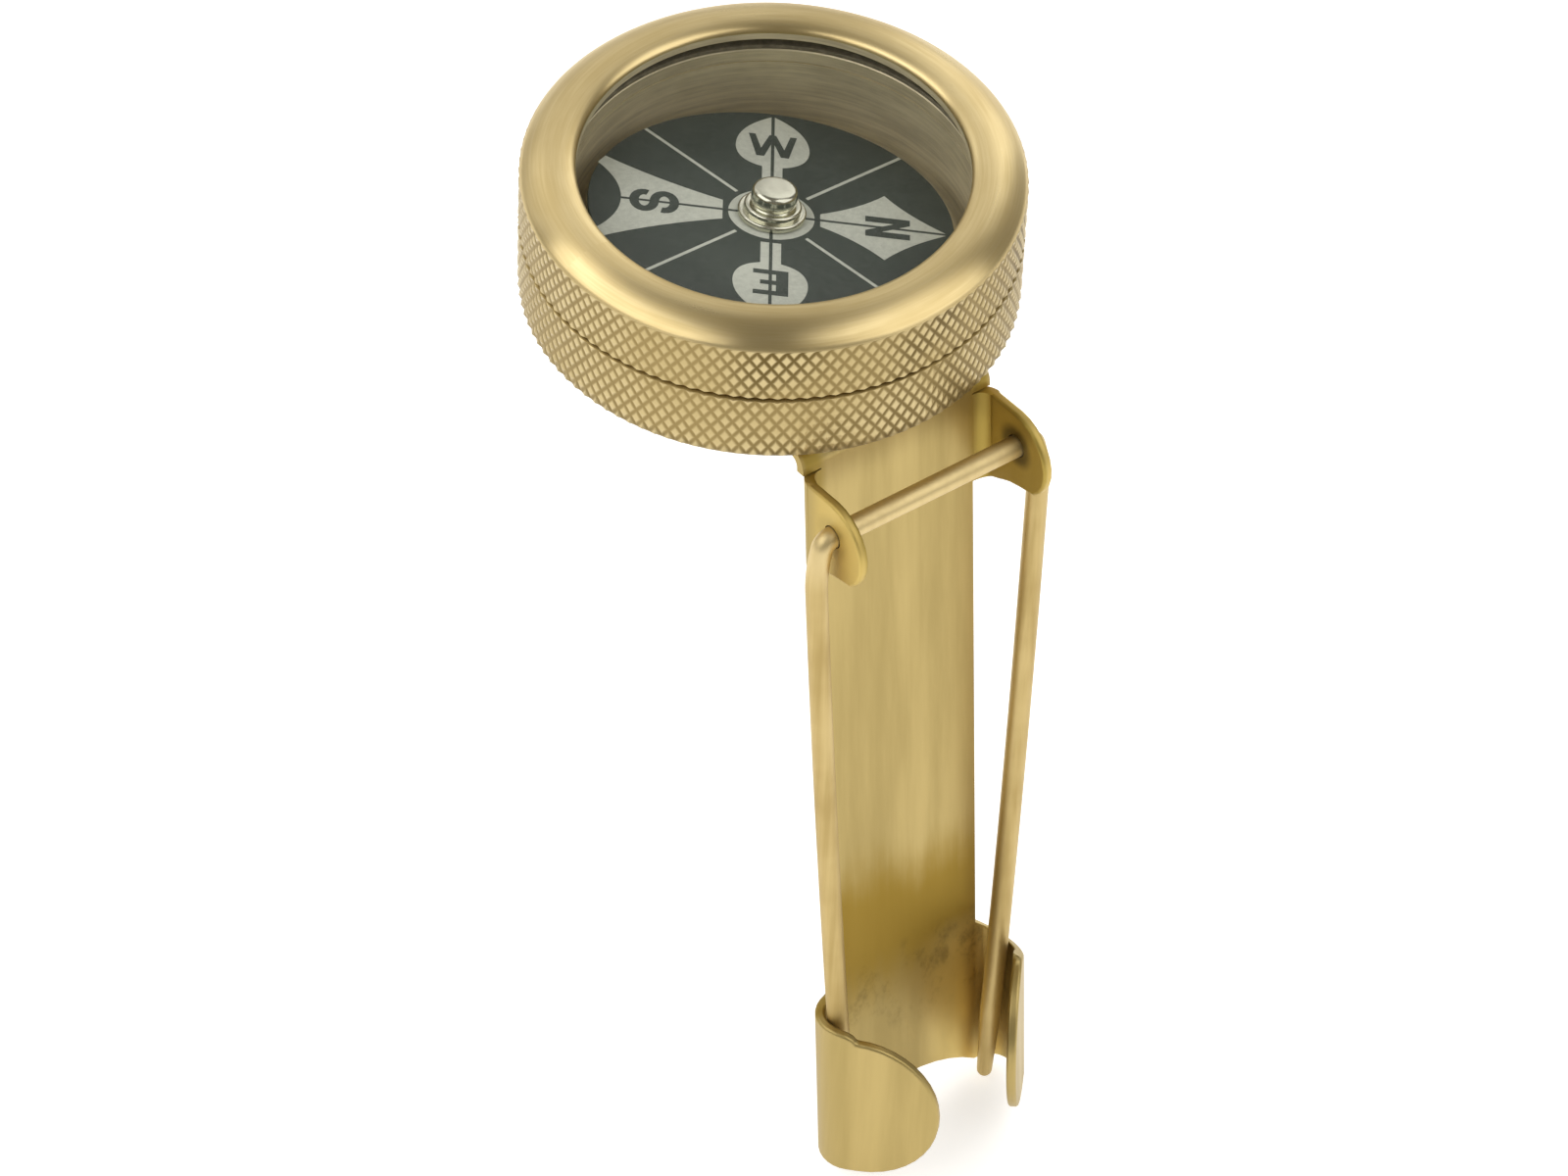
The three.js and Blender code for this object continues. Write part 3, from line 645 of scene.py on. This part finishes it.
def add_piece(name, shape, materials, body, stands_for=(), picks=None, sharp=SHARP):
    """A piece from a shape of vertices and faces, with a material's number picked for each face."""
    verts, faces = shape
    mesh = bpy.data.meshes.new(name)
    mesh.from_pydata([Vector(v) * MM for v in verts], [], faces)
    for material in materials:
        mesh.materials.append(material)
    if picks:
        mesh.polygons.foreach_set("material_index", picks)
    made = bmesh.new()
    made.from_mesh(mesh)
    bmesh.ops.recalc_face_normals(made, faces=made.faces)
    made.to_mesh(mesh)
    made.free()
    set_piece(name, mesh, body, stands_for, sharp)


def ring_point(radius, level, turn):
    return (BASE_MM.x + radius * math.cos(turn), BASE_MM.y + radius * math.sin(turn), BASE_MM.z + level)


def lathe(profile, sides):
    """A closed profile of (radius, level) turned round the case's axis. A profile that starts and ends on
    the axis closes there."""
    verts, faces, rings = [], [], []
    for radius, level in profile:
        count = sides if radius else 1
        rings.append(range(len(verts), len(verts) + count))
        verts.extend(ring_point(radius, level, 2 * math.pi * k / sides) for k in range(count))
    closed = profile[0][0] != 0
    pairs = list(zip(rings, rings[1:])) + ([(rings[-1], rings[0])] if closed else [])
    for a, b in pairs:
        for k in range(sides):
            n = (k + 1) % sides
            if len(a) == 1:
                faces.append((a[0], b[k], b[n]))
            elif len(b) == 1:
                faces.append((a[k], b[0], a[n]))
            else:
                faces.append((a[k], b[k], b[n], a[n]))
    return verts, faces


def bezier(start, control, end, steps):
    points = []
    for i in range(steps + 1):
        t = i / steps
        shares = ((1 - t) ** 2, 2 * t * (1 - t), t ** 2)
        points.append(tuple(
            sum(share * part for share, part in zip(shares, parts)) for parts in zip(start, control, end)
        ))
    return points


# The materials that a face of the case or of the bezel picks: knurl, outside and inner wall
KNURLED, OUTSIDE, INSIDE = range(3)


def even_levels(bottom, top, rows):
    return [bottom + (top - bottom) * j / rows for j in range(rows + 1)]


def knurled_ring(below, levels, above, phase):
    """A turned ring whose outer band is diamond knurled. The profiles of (radius, level, material) run
    from the bore to the foot of the band and from the head of the band back to the bore. On a lattice of
    half steps the grooves cross at the even points and a diamond stands on each odd one."""
    columns = 2 * KNURLS
    verts, faces, picks = [], [], []

    def plain_ring(radius, level):
        start = len(verts)
        verts.extend(ring_point(radius, level, math.pi * k / KNURLS) for k in range(columns))
        return range(start, start + columns)

    def face(corners, pick=KNURLED):
        faces.append(tuple(corners))
        picks.append(pick)

    def strip(a, b, pick=KNURLED):
        for k in range(columns):
            n = (k + 1) % columns
            face((a[k], b[k], b[n], a[n]), pick)

    def toward(centre, corner):
        """A corner of the small flat top of a diamond."""
        spot = Vector(verts[centre]).lerp(Vector(verts[corner]), KNURL_FLAT)
        out = Vector((spot.x - BASE_MM.x, spot.y - BASE_MM.y, 0)).normalized() * (CASE_R - KNURL_CROWN)
        verts.append((BASE_MM.x + out.x, BASE_MM.y + out.y, spot.z))
        return len(verts) - 1

    def stands(j, k):
        return (k + j + phase) % 2 == 1

    def diamond(j, k):
        row = rows[j]
        left, right = row[k - 1], row[(k + 1) % columns]
        if j in (0, len(rows) - 1):
            tip = rows[1 if j == 0 else j - 1][k]
            face((row[k], right, tip))
            face((row[k], tip, left))
            return
        corners = (right, rows[j + 1][k], left, rows[j - 1][k])
        inner = [toward(row[k], corner) for corner in corners]
        face(inner)
        for i, corner in enumerate(corners):
            n = (i + 1) % len(corners)
            face((inner[i], corner, corners[n], inner[n]))

    lower = [plain_ring(r, z) for r, z, _ in below]
    rows = []
    for j, level in enumerate(levels):
        rows.append(range(len(verts), len(verts) + columns))
        for k in range(columns):
            radius = CASE_R if stands(j, k) else CASE_R - KNURL_DEPTH
            verts.append(ring_point(radius, level, math.pi * k / KNURLS))
    upper = [plain_ring(r, z) for r, z, _ in above]

    for j in range(len(rows)):
        for k in range(columns):
            if stands(j, k):
                diamond(j, k)
    for run, profile in ((lower, below), (upper, above)):
        for a, b, (_, _, pick) in zip(run, run[1:], profile[1:]):
            strip(a, b, pick)
    strip(lower[-1], rows[0])
    strip(rows[-1], upper[0])
    strip(upper[-1], lower[0], above[0][2])
    return (verts, faces), picks


def make_case():
    fillet_r = INNER_R - FLOOR_FILLET
    fillet_z = FLOOR_TOP + FLOOR_FILLET
    turns = [QUARTER * i / FILLET_STEPS for i in range(FILLET_STEPS + 1)]
    fillet = [
        (fillet_r + FLOOR_FILLET * math.cos(a), fillet_z - FLOOR_FILLET * math.sin(a), INSIDE) for a in turns
    ]
    foot = [
        (POST_HOLE, -EDGE_BREAK, OUTSIDE),
        (CASE_R - EDGE_WIDTH, -EDGE_BREAK, OUTSIDE),
        (CASE_R - KNURL_SEAM, FOOT_SEAM, OUTSIDE),
    ]
    head = [
        (CASE_R - KNURL_SEAM, RING_TOP, OUTSIDE),
        (SPIGOT_R, RING_TOP, OUTSIDE),
        (SPIGOT_R, SPIGOT_TOP, OUTSIDE),
        (INNER_R, SPIGOT_TOP, INSIDE),
        *fillet,
        (POST_HOLE, FLOOR_TOP, INSIDE),
    ]
    levels = even_levels(RING_TOP - CASE_ROWS * KNURL_ROW, RING_TOP - KNURL_EDGE, CASE_ROWS)
    shape, picks = knurled_ring(foot, levels, head, phase=0)
    finishes = (KNURL, PLAIN, WALL)
    add_piece("case_knurled", shape, finishes, "housing", ("case_body",), picks, KNURL_SHARP)


def make_bezel():
    dome_foot = (CASE_R - DOME_EDGE, BAND_TOP + DOME_EDGE)
    crest = (CREST_R, CREST_Z)
    dome = bezier(dome_foot, (DOME_SHOULDER_R, CREST_Z), crest, DOME_STEPS)
    lip = bezier(crest, (APERTURE_R, CREST_Z), (APERTURE_R, LIP_EDGE), LIP_STEPS)
    foot = [
        (BEZEL_BORE, BEZEL_BOTTOM, OUTSIDE),
        (CASE_R - KNURL_SEAM, BEZEL_BOTTOM, OUTSIDE),
    ]
    head = [
        *((radius, level, OUTSIDE) for radius, level in dome + lip[1:]),
        (APERTURE_R, LIP_SEAT, INSIDE),
        (BEZEL_BORE, LIP_SEAT, INSIDE),
    ]
    levels = even_levels(BEZEL_BOTTOM + KNURL_EDGE, BAND_TOP - KNURL_EDGE / 2, BEZEL_ROWS)
    shape, picks = knurled_ring(foot, levels, head, phase=1)
    finishes = (KNURL, DOME, WALL)
    add_piece("bezel_knurled", shape, finishes, "bezel", ("bezel_ring",), picks, KNURL_SHARP)


# Window, gasket and retaining ring
def make_washer(name, bottom, top, edge, material, node):
    """A ring of rectangular section with broken edges, between the inner wall and the window's rim."""
    inner, outer = INNER_R, CRYSTAL_R
    profile = [
        (inner + edge, bottom), (outer - edge, bottom), (outer, bottom + edge), (outer, top - edge),
        (outer - edge, top), (inner + edge, top), (inner, top - edge), (inner, bottom + edge),
    ]
    add_piece(name, lathe(profile, RING_SIDES), (material,), "glass_unit", (node,))


def make_window():
    rim = CRYSTAL_R - CRYSTAL_CHAMFER
    profile = [
        (0, CRYSTAL_BOTTOM),
        (rim, CRYSTAL_BOTTOM),
        (CRYSTAL_R, CRYSTAL_BOTTOM + CRYSTAL_CHAMFER),
        (CRYSTAL_R, CRYSTAL_TOP - CRYSTAL_CHAMFER),
        (rim, CRYSTAL_TOP),
        (0, CRYSTAL_TOP),
    ]
    disc = lathe(profile, RING_SIDES)
    add_piece("window_disc", disc, (GLASS,), "glass_unit", ("crystal",))


# Card: N lies along its own +x, W along +y
tilt_axis = Vector((-math.sin(TILT_BEARING), math.cos(TILT_BEARING), 0))
card_place = (
    Matrix.Translation(BASE_MM + Vector((0, 0, PIVOT_LEVEL)))
    @ Matrix.Rotation(CARD_TILT, 4, tilt_axis)
    @ Matrix.Translation((0, 0, -CARD_DROP))
    @ Matrix.Rotation(CARD_HEADING, 4, "Z")
)


def card_lathe(profile, sides):
    """As lathe, but round the card's own axis."""
    verts, faces = lathe(profile, sides)
    return [card_place @ (Vector(v) - BASE_MM) for v in verts], faces


def make_card():
    rim = CARD_R - CARD_EDGE
    profile = [
        (CARD_HOLE, 0), (rim, 0), (CARD_R, CARD_EDGE), (CARD_R, CARD_T - CARD_EDGE), (rim, CARD_T),
        (CARD_HOLE, CARD_T),
    ]
    disc = card_lathe(profile, CARD_SIDES)
    add_piece("card_disc", disc, (CARD_DARK,), "card", ("compass_card",))


def printed(name, outline, lift, material, turn=0.0):
    """A flat shape of ink on the card, from a closed outline of (x, y)."""
    spin = Matrix.Rotation(turn, 4, "Z")
    points = [spin @ Vector((x, y, 0)) for x, y in outline]
    count = len(points)
    levels = (CARD_T + lift, CARD_T - INK_SUNK)
    verts = [card_place @ Vector((p.x, p.y, level)) for level in levels for p in points]
    sides = [(i, (i + 1) % count, count + (i + 1) % count, count + i) for i in range(count)]
    faces = [tuple(range(count)), tuple(range(2 * count - 1, count - 1, -1)), *sides]
    add_piece(name, (verts, faces), (material,), "card", sharp=INK_SHARP)


def outline_of(*runs):
    """A shape that is the same on both sides of its x axis, from the runs of one side. A run is the two
    ends of a straight, or the start, control point, end and number of steps of a curve."""
    side = [runs[0][0]]
    for run in runs:
        side += [run[1]] if len(run) == 2 else bezier(*run)[1:]
    return side + [(x, -y) for x, y in reversed(side) if y != 0]


def strip_outline(start, end, half):
    return [(start, -half), (end, -half), (end, half), (start, half)]


ARM_TURN = {"north": 0.0, "west": QUARTER, "south": 2 * QUARTER, "east": -QUARTER}
BALLOON = (
    ((2.95, -0.61), (5.1, -0.61)),
    ((5.1, -0.61), (5.5, -2.2), (7.15, -2.22), 10),
    ((7.15, -2.22), (9.2, -2.2), (10.55, 0), 10),
)
ARMS = {
    "north": (
        ((2.9, -0.65), (5.2, -1.7), (6.72, -3.38), 8),
        ((6.72, -3.38), (8.1, -1.5), (10.55, 0), 10),
    ),
    "south": (
        ((2.9, -0.98), (6.8, -2.3), (9.97, -4.25), 8),
        ((9.97, -4.25), (10.4, -3.5)),
        ((10.4, -3.5), (8.95, -1.9), (8.92, 0), 8),
    ),
    "east": BALLOON,
    "west": BALLOON,
}
HUB_RING = (1.7, 2.57)
RAY_RUN = (2.95, CARD_R - 0.08)
RAY_HALF = 0.11
LINE_ENDS = {"north": 10.55, "west": 10.55, "south": 8.92, "east": 10.55}
LINE_HALF = 0.1


def make_print():
    """The light arms, the ring and the rays between the arms, and the dark lines along the arms."""
    for name, runs in ARMS.items():
        printed(f"print_{name}", outline_of(*runs), PRINT_LIFT, CARD_LIGHT, ARM_TURN[name])
    inner, outer = HUB_RING
    bottom, top = CARD_T - INK_SUNK, CARD_T + PRINT_LIFT
    ring = card_lathe([(inner, bottom), (outer, bottom), (outer, top), (inner, top)], INK_SIDES)
    add_piece("print_ring_light", ring, (CARD_LIGHT,), "card", sharp=INK_SHARP)
    ray = strip_outline(*RAY_RUN, RAY_HALF)
    for index in range(len(ARMS)):
        printed(f"print_ray_{index + 1}", ray, PRINT_LIFT, CARD_LIGHT, QUARTER * (index + HALF))
    for name, end in LINE_ENDS.items():
        line = strip_outline(inner, end, LINE_HALF)
        printed(f"print_line_{name}", line, LINE_LIFT, CARD_DARK, ARM_TURN[name])


# Letters: strokes as rows of (across, up) points, before each is set on its arm with its top outward
ESS_SIZE = (2.3, 2.96)
ESS_STROKE = 0.55
ESS_UPPER = range(-20, 271, 15)
ESS_LOWER = range(75, -201, -15)


def ess():
    """The outline of an S as one ribbon along its double bend."""
    width, height = ESS_SIZE
    half = ESS_STROKE / 2
    reach = width / 2 - half
    rise = (height - ESS_STROKE) / 4
    spine = []
    for turns, middle in ((ESS_UPPER, height / 2 + rise), (ESS_LOWER, height / 2 - rise)):
        spine += [(reach * math.cos(a), middle + rise * math.sin(a)) for a in map(math.radians, turns)]
    left, right = [], []
    for i, (x, y) in enumerate(spine):
        before, after = spine[max(i - 1, 0)], spine[min(i + 1, len(spine) - 1)]
        along = Vector((after[0] - before[0], after[1] - before[1])).normalized() * half
        left.append((x - along.y, y + along.x))
        right.append((x + along.y, y - along.x))
    return left + right[::-1]


LETTERS = {
    "north": (
        [(-1.04, 0), (-0.47, 0), (-0.47, 2.66), (-1.04, 2.66)],
        [(0.47, 0), (1.04, 0), (1.04, 2.66), (0.47, 2.66)],
        [(-0.47, 2.66), (-0.47, 1.7), (0.47, 0), (0.47, 0.96)],
    ),
    "east": (
        [(-1.06, 0), (-0.34, 0), (-0.34, 2.55), (-1.06, 2.55)],
        [(-0.34, 0), (1.02, 0), (1.02, 0.42), (-0.34, 0.42)],
        [(-0.34, 1.07), (0.6, 1.07), (0.6, 1.48), (-0.34, 1.48)],
        [(-0.34, 2.13), (1.02, 2.13), (1.02, 2.55), (-0.34, 2.55)],
    ),
    "west": (
        [(-1.45, 2.3), (-0.98, 0), (-0.5, 0), (-1.05, 2.3)],
        [(-0.98, 0), (-0.5, 0), (0.2, 2.3), (-0.2, 2.3)],
        [(-0.2, 2.3), (0.5, 0), (0.98, 0), (0.2, 2.3)],
        [(0.5, 0), (0.98, 0), (1.45, 2.3), (1.05, 2.3)],
    ),
    "south": (ess(),),
}
LETTER_FEET = {"north": 5.58, "east": 5.82, "south": 5.48, "west": 6.2}


def make_letters():
    for name, strokes in LETTERS.items():
        foot = LETTER_FEET[name]
        for index, stroke in enumerate(strokes):
            outline = [(foot + up, -across) for across, up in stroke]
            lift = LETTER_LIFT + STROKE_LIFT * index
            printed(f"letter_{name}_{index + 1}", outline, lift, CARD_DARK, ARM_TURN[name])


def rounded(radius, bottom, top, bend, steps=5):
    """The edge of a turned step, from its foot up and in."""
    turns = [QUARTER * i / steps for i in range(steps + 1)]
    edge = [(radius - bend + bend * math.cos(a), top - bend + bend * math.sin(a)) for a in turns]
    return [(radius, bottom)] + edge


def make_hub():
    flange_groove, *step_grooves = HUB_GROOVES
    profile = [
        (0, JEWEL_CAVITY_TOP),
        (JEWEL_CAVITY_R, JEWEL_CAVITY_TOP),
        (JEWEL_CAVITY_R, HUB_FOOT),
        *rounded(HUB_FLANGE_R, HUB_FOOT, HUB_FLANGE_TOP, HUB_FLANGE_ROUND),
        flange_groove,
        *rounded(HUB_STEP_R, HUB_FLANGE_TOP - HUB_STEP_SUNK, HUB_STEP_TOP, HUB_STEP_ROUND),
        *step_grooves,
        *rounded(HUB_BUTTON_R, HUB_BUTTON_FOOT, HUB_CROWN, HUB_BUTTON_ROUND, HUB_BUTTON_STEPS),
        (HUB_CROWN_R, HUB_CROWN),
        (0, HUB_CROWN),
    ]
    hub = card_lathe(profile, HUB_SIDES)
    add_piece("hub_turned", hub, (NICKEL,), "card", ("hub_cap",), sharp=HUB_SHARP)


# Pin: one wire bent into a U
def arc(centre, radius, start, end, steps):
    """Wire stations along an arc, without its first one."""
    turns = [start + (end - start) * i / steps for i in range(1, steps + 1)]
    return [(centre[0] + radius * math.cos(a), centre[1] + radius * math.sin(a), WIRE_R) for a in turns]


def wire_stations():
    """Stations of (across, up, radius) from one tip of the wire over the cross bar to the other."""
    inset = ELBOW_R - SHOULDER_R
    elbow_centre = (BAR_HALF, -ELBOW_R)
    shoulder_centre = (BAR_HALF + inset * math.cos(ELBOW_FLARE), inset * math.sin(ELBOW_FLARE) - ELBOW_R)
    half = [(BAR_HALF * i / BAR_STEPS, 0.0, WIRE_R) for i in range(BAR_STEPS + 1)]
    half += arc(elbow_centre, ELBOW_R, QUARTER, ELBOW_FLARE, ELBOW_STEPS)
    half += arc(shoulder_centre, SHOULDER_R, ELBOW_FLARE, -SHOULDER_LEAN, SHOULDER_STEPS)
    top_x, top_z, _ = half[-1]

    def leg_point(t, radius):
        """A point of the bowed leg, from the shoulder at 0 to the tip at 1."""
        x = top_x + (TIP_HALF - top_x) * t + 4 * LEG_BOW * t * (1 - t)
        return (x, top_z + (-LEG_DROP - top_z) * t, radius)

    taper_start = 1 - TIP_TAPER / LEG_DROP
    taper_end = 1 - WIRE_TIP_R / LEG_DROP
    for i in range(1, LEG_STEPS + 1):
        half.append(leg_point(taper_start * i / LEG_STEPS, WIRE_R))
    for i in range(1, TAPER_STEPS + 1):
        share = i / TAPER_STEPS
        radius = WIRE_R + (WIRE_TIP_R - WIRE_R) * share
        half.append(leg_point(taper_start + (taper_end - taper_start) * share, radius))
    for a in map(math.radians, TIP_TURNS):
        half.append(leg_point(1 - WIRE_TIP_R * (1 - math.sin(a)) / LEG_DROP, WIRE_TIP_R * math.cos(a)))
    return [(-x, z, radius) for x, z, radius in reversed(half[1:])] + half


def make_pin():
    stations = wire_stations()
    place = Matrix.Translation(HINGE) @ Matrix.Rotation(PIN_LEAN, 4, "X")
    forward = Vector((0, 1, 0))
    verts, faces = [], []
    for i, (x, z, radius) in enumerate(stations):
        before, after = stations[max(i - 1, 0)], stations[min(i + 1, len(stations) - 1)]
        along = Vector((after[0] - before[0], 0, after[1] - before[1])).normalized()
        across = along.cross(forward)
        for k in range(WIRE_SIDES):
            a = 2 * math.pi * k / WIRE_SIDES
            out = across * math.cos(a) + forward * math.sin(a)
            verts.append(place @ (Vector((x, 0, z)) + out * radius))
    for a in range(0, len(verts) - WIRE_SIDES, WIRE_SIDES):
        b = a + WIRE_SIDES
        for k in range(WIRE_SIDES):
            n = (k + 1) % WIRE_SIDES
            faces.append((a + k, a + n, b + n, b + k))
    faces.append(tuple(range(WIRE_SIDES)))
    faces.append(tuple(reversed(range(len(verts) - WIRE_SIDES, len(verts)))))
    add_piece("wire_pin", (verts, faces), (WIRE,), "pin", ("pin",), sharp=WIRE_SHARP)


# Bracket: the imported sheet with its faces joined, its hinge holes rounded and its rims broken
def between(value, ends):
    return ends[0] < value < ends[1]


def from_axis(vert):
    """The way from the hinge axis to a corner, square to the axis."""
    return Vector((0, vert.co.y / MM - HINGE.y, vert.co.z / MM - HINGE.z))


def in_hole(vert):
    return abs(vert.co.x) > EAR_INSIDE * MM and from_axis(vert).length < HOLE_ZONE


def on_rim(vert):
    """Whether a corner belongs to the rounded rim of an ear, of a hook or of the strap's sides."""
    spot = vert.co / MM
    wide = abs(spot.x)
    ahead = -spot.dot(STRAP_BACK)
    ear_ahead = EAR_ROOT_AHEAD if spot.z < EAR_ROOT_LEVEL else EAR_LOBE_AHEAD
    ear = wide > EAR_RIM_WIDE and between(spot.z, EAR_RIM_LEVELS) and ahead > ear_ahead
    hook = spot.z < HOOK_LEVEL and (ahead > HOOK_AHEAD or wide > HOOK_WIDE)
    notch = spot.x > 0 and spot.z > NOTCH_LEVEL and between(ahead, NOTCH_AHEAD)
    side = between(wide, SIDE_WIDE) and between(spot.z, SIDE_LEVELS) and ahead < SIDE_AHEAD
    return (ear and not in_hole(vert)) or (hook and not notch) or side


def along_rim(edge):
    """Whether an edge lies in one face of the sheet, and not through its thickness."""
    start, end = edge.verts
    return abs(start.co.x - end.co.x) < SHEET_T / 2 * MM


def round_holes(made):
    rims = [e for e in made.edges if all(in_hole(v) for v in e.verts) and along_rim(e)]
    bmesh.ops.subdivide_edges(made, edges=rims, cuts=HOLE_CUTS)
    for vert in made.verts:
        if in_hole(vert):
            out = from_axis(vert)
            vert.co += out * (HOLE_R / out.length - 1) * MM


def make_bracket():
    made = bmesh.new()
    made.from_mesh(nodes["bracket"].data)
    made.transform(nodes["bracket"].matrix_world)
    bmesh.ops.remove_doubles(made, verts=made.verts, dist=DOUBLES * MM)
    bmesh.ops.dissolve_limit(made, angle_limit=FLAT_ANGLE, verts=made.verts, edges=made.edges)
    round_holes(made)
    rounding = made.edges.layers.float.new("bevel_weight_edge")
    for edge in made.edges:
        if edge.calc_face_angle(0) > RIM_ANGLE and all(on_rim(v) for v in edge.verts):
            edge[rounding] = 1.0
    mesh = bpy.data.meshes.new("sheet_bracket")
    made.to_mesh(mesh)
    made.free()
    mesh.materials.clear()
    mesh.materials.append(STRAP)
    bracket = set_piece("sheet_bracket", mesh, "housing", ("bracket",))
    bevel = bracket.modifiers.new("broken_edges", "BEVEL")
    bevel.width = RIM_ROUND * MM
    bevel.segments = RIM_SEGMENTS
    bevel.limit_method = "WEIGHT"
    bevel.use_clamp_overlap = False
    joined = bracket.modifiers.new("joined_ends", "WELD")
    joined.merge_threshold = LOOSE_ENDS * MM
    weighted = bracket.modifiers.new("flat_faces", "WEIGHTED_NORMAL")
    weighted.weight = FACE_WEIGHT
    weighted.keep_sharp = True


make_case()
make_bezel()
make_washer(
    "retainer_turned", SPIGOT_TOP, RETAINER_TOP, RETAINER_EDGE, WALL, "retaining_ring"
)
make_washer(
    "gasket_moulded", RETAINER_TOP, CRYSTAL_BOTTOM, GASKET_EDGE, RUBBER, "crystal_gasket"
)
make_window()
make_card()
make_print()
make_letters()
make_hub()
make_pin()
make_bracket()

# Rivets, needle, post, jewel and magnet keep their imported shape
for name, material in (
    ("bracket_rivet_left", PLAIN),
    ("bracket_rivet_right", PLAIN),
    ("pivot_post", PLAIN),
    ("pivot_needle", STEEL),
    ("jewel_cup", JEWEL),
    ("bar_magnet", MAGNET),
):
    for seat in nodes[name].material_slots:
        seat.material = material

# Studio: a pale floor, a grey world and soft boxes, in metres and degrees
FLOOR_SIZE = 4.0
FLOOR_GAP = 0.5 * MM
PAPER_GLOW = 0.55
WORLD_COLOUR = (1.0, 0.95, 0.84, 1)
WORLD_STRENGTH = 0.24
MIDDLE = Vector((0, 0.012, 0.025))
BOX_DISTANCE = 0.7
scene = bpy.context.scene


def make_floor():
    low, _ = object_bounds()
    bpy.ops.mesh.primitive_plane_add(size=FLOOR_SIZE, location=(0, 0, low.z - FLOOR_GAP))
    floor = bpy.context.object
    floor.name = "studio_floor"
    paper = Surface("studio_paper", roughness=0.7)
    fleck = paper.noise(paper.place, scale=90.0)
    paper.colour(paper.mix(paper.ramp(fleck, WIDE), *PAPER_TONES))
    paper.shader.inputs["Emission Color"].default_value = (1, 1, 1, 1)
    paper.shader.inputs["Emission Strength"].default_value = PAPER_GLOW
    floor.data.materials.append(paper.material)


def make_world():
    scene.view_settings.view_transform = "Standard"
    world = bpy.data.worlds.new("studio_world")
    scene.world = world
    world.use_nodes = True
    background = world.node_tree.nodes["Background"]
    background.inputs["Color"].default_value = WORLD_COLOUR
    background.inputs["Strength"].default_value = WORLD_STRENGTH


def soft_box(name, bearing, rise, size, radiance):
    """A soft box that faces the object from a compass bearing and a height."""
    turn, tilt = math.radians(bearing), math.radians(rise)
    way = Vector((math.cos(turn) * math.cos(tilt), math.sin(turn) * math.cos(tilt), math.sin(tilt)))
    data = bpy.data.lights.new(name, "AREA")
    data.shape = "RECTANGLE"
    data.size, data.size_y = size
    data.energy = radiance * math.pi * size[0] * size[1]
    lamp = bpy.data.objects.new(name, data)
    lamp.location = MIDDLE + way * BOX_DISTANCE
    lamp.rotation_euler = (-way).to_track_quat("-Z", "Y").to_euler()
    scene.collection.objects.link(lamp)


make_floor()
make_world()
soft_box("box_left", bearing=163, rise=46, size=(0.86, 0.52), radiance=1.78)
soft_box("box_right", bearing=308, rise=46, size=(0.66, 0.78), radiance=1.36)
soft_box("box_back", bearing=54, rise=31, size=(0.96, 0.60), radiance=0.60)
soft_box("box_back_right", bearing=31, rise=24, size=(0.34, 0.42), radiance=0.66)
soft_box("box_back_left", bearing=104, rise=36, size=(0.35, 0.60), radiance=0.6)

# Camera as the photo was taken: its axes, its place in metres and its lens
RIGHT = Vector((0.8120, -0.5827, 0.0315))
DOWN = Vector((-0.4044, -0.6008, -0.6896))
AHEAD = Vector((0.4208, 0.5472, -0.7235))
CAMERA_PLACE = (-0.2025, -0.2508, 0.3522)
SENSOR_WIDTH = 36.0
LENS = 179.8


def make_camera():
    data = bpy.data.cameras.new("photo_camera")
    data.sensor_fit = "HORIZONTAL"
    data.sensor_width = SENSOR_WIDTH
    data.lens = LENS
    camera = bpy.data.objects.new("photo_camera", data)
    scene.collection.objects.link(camera)
    turned = Matrix((RIGHT, -DOWN, -AHEAD)).transposed().to_4x4()
    camera.matrix_world = Matrix.Translation(CAMERA_PLACE) @ turned
    scene.camera = camera


make_camera()
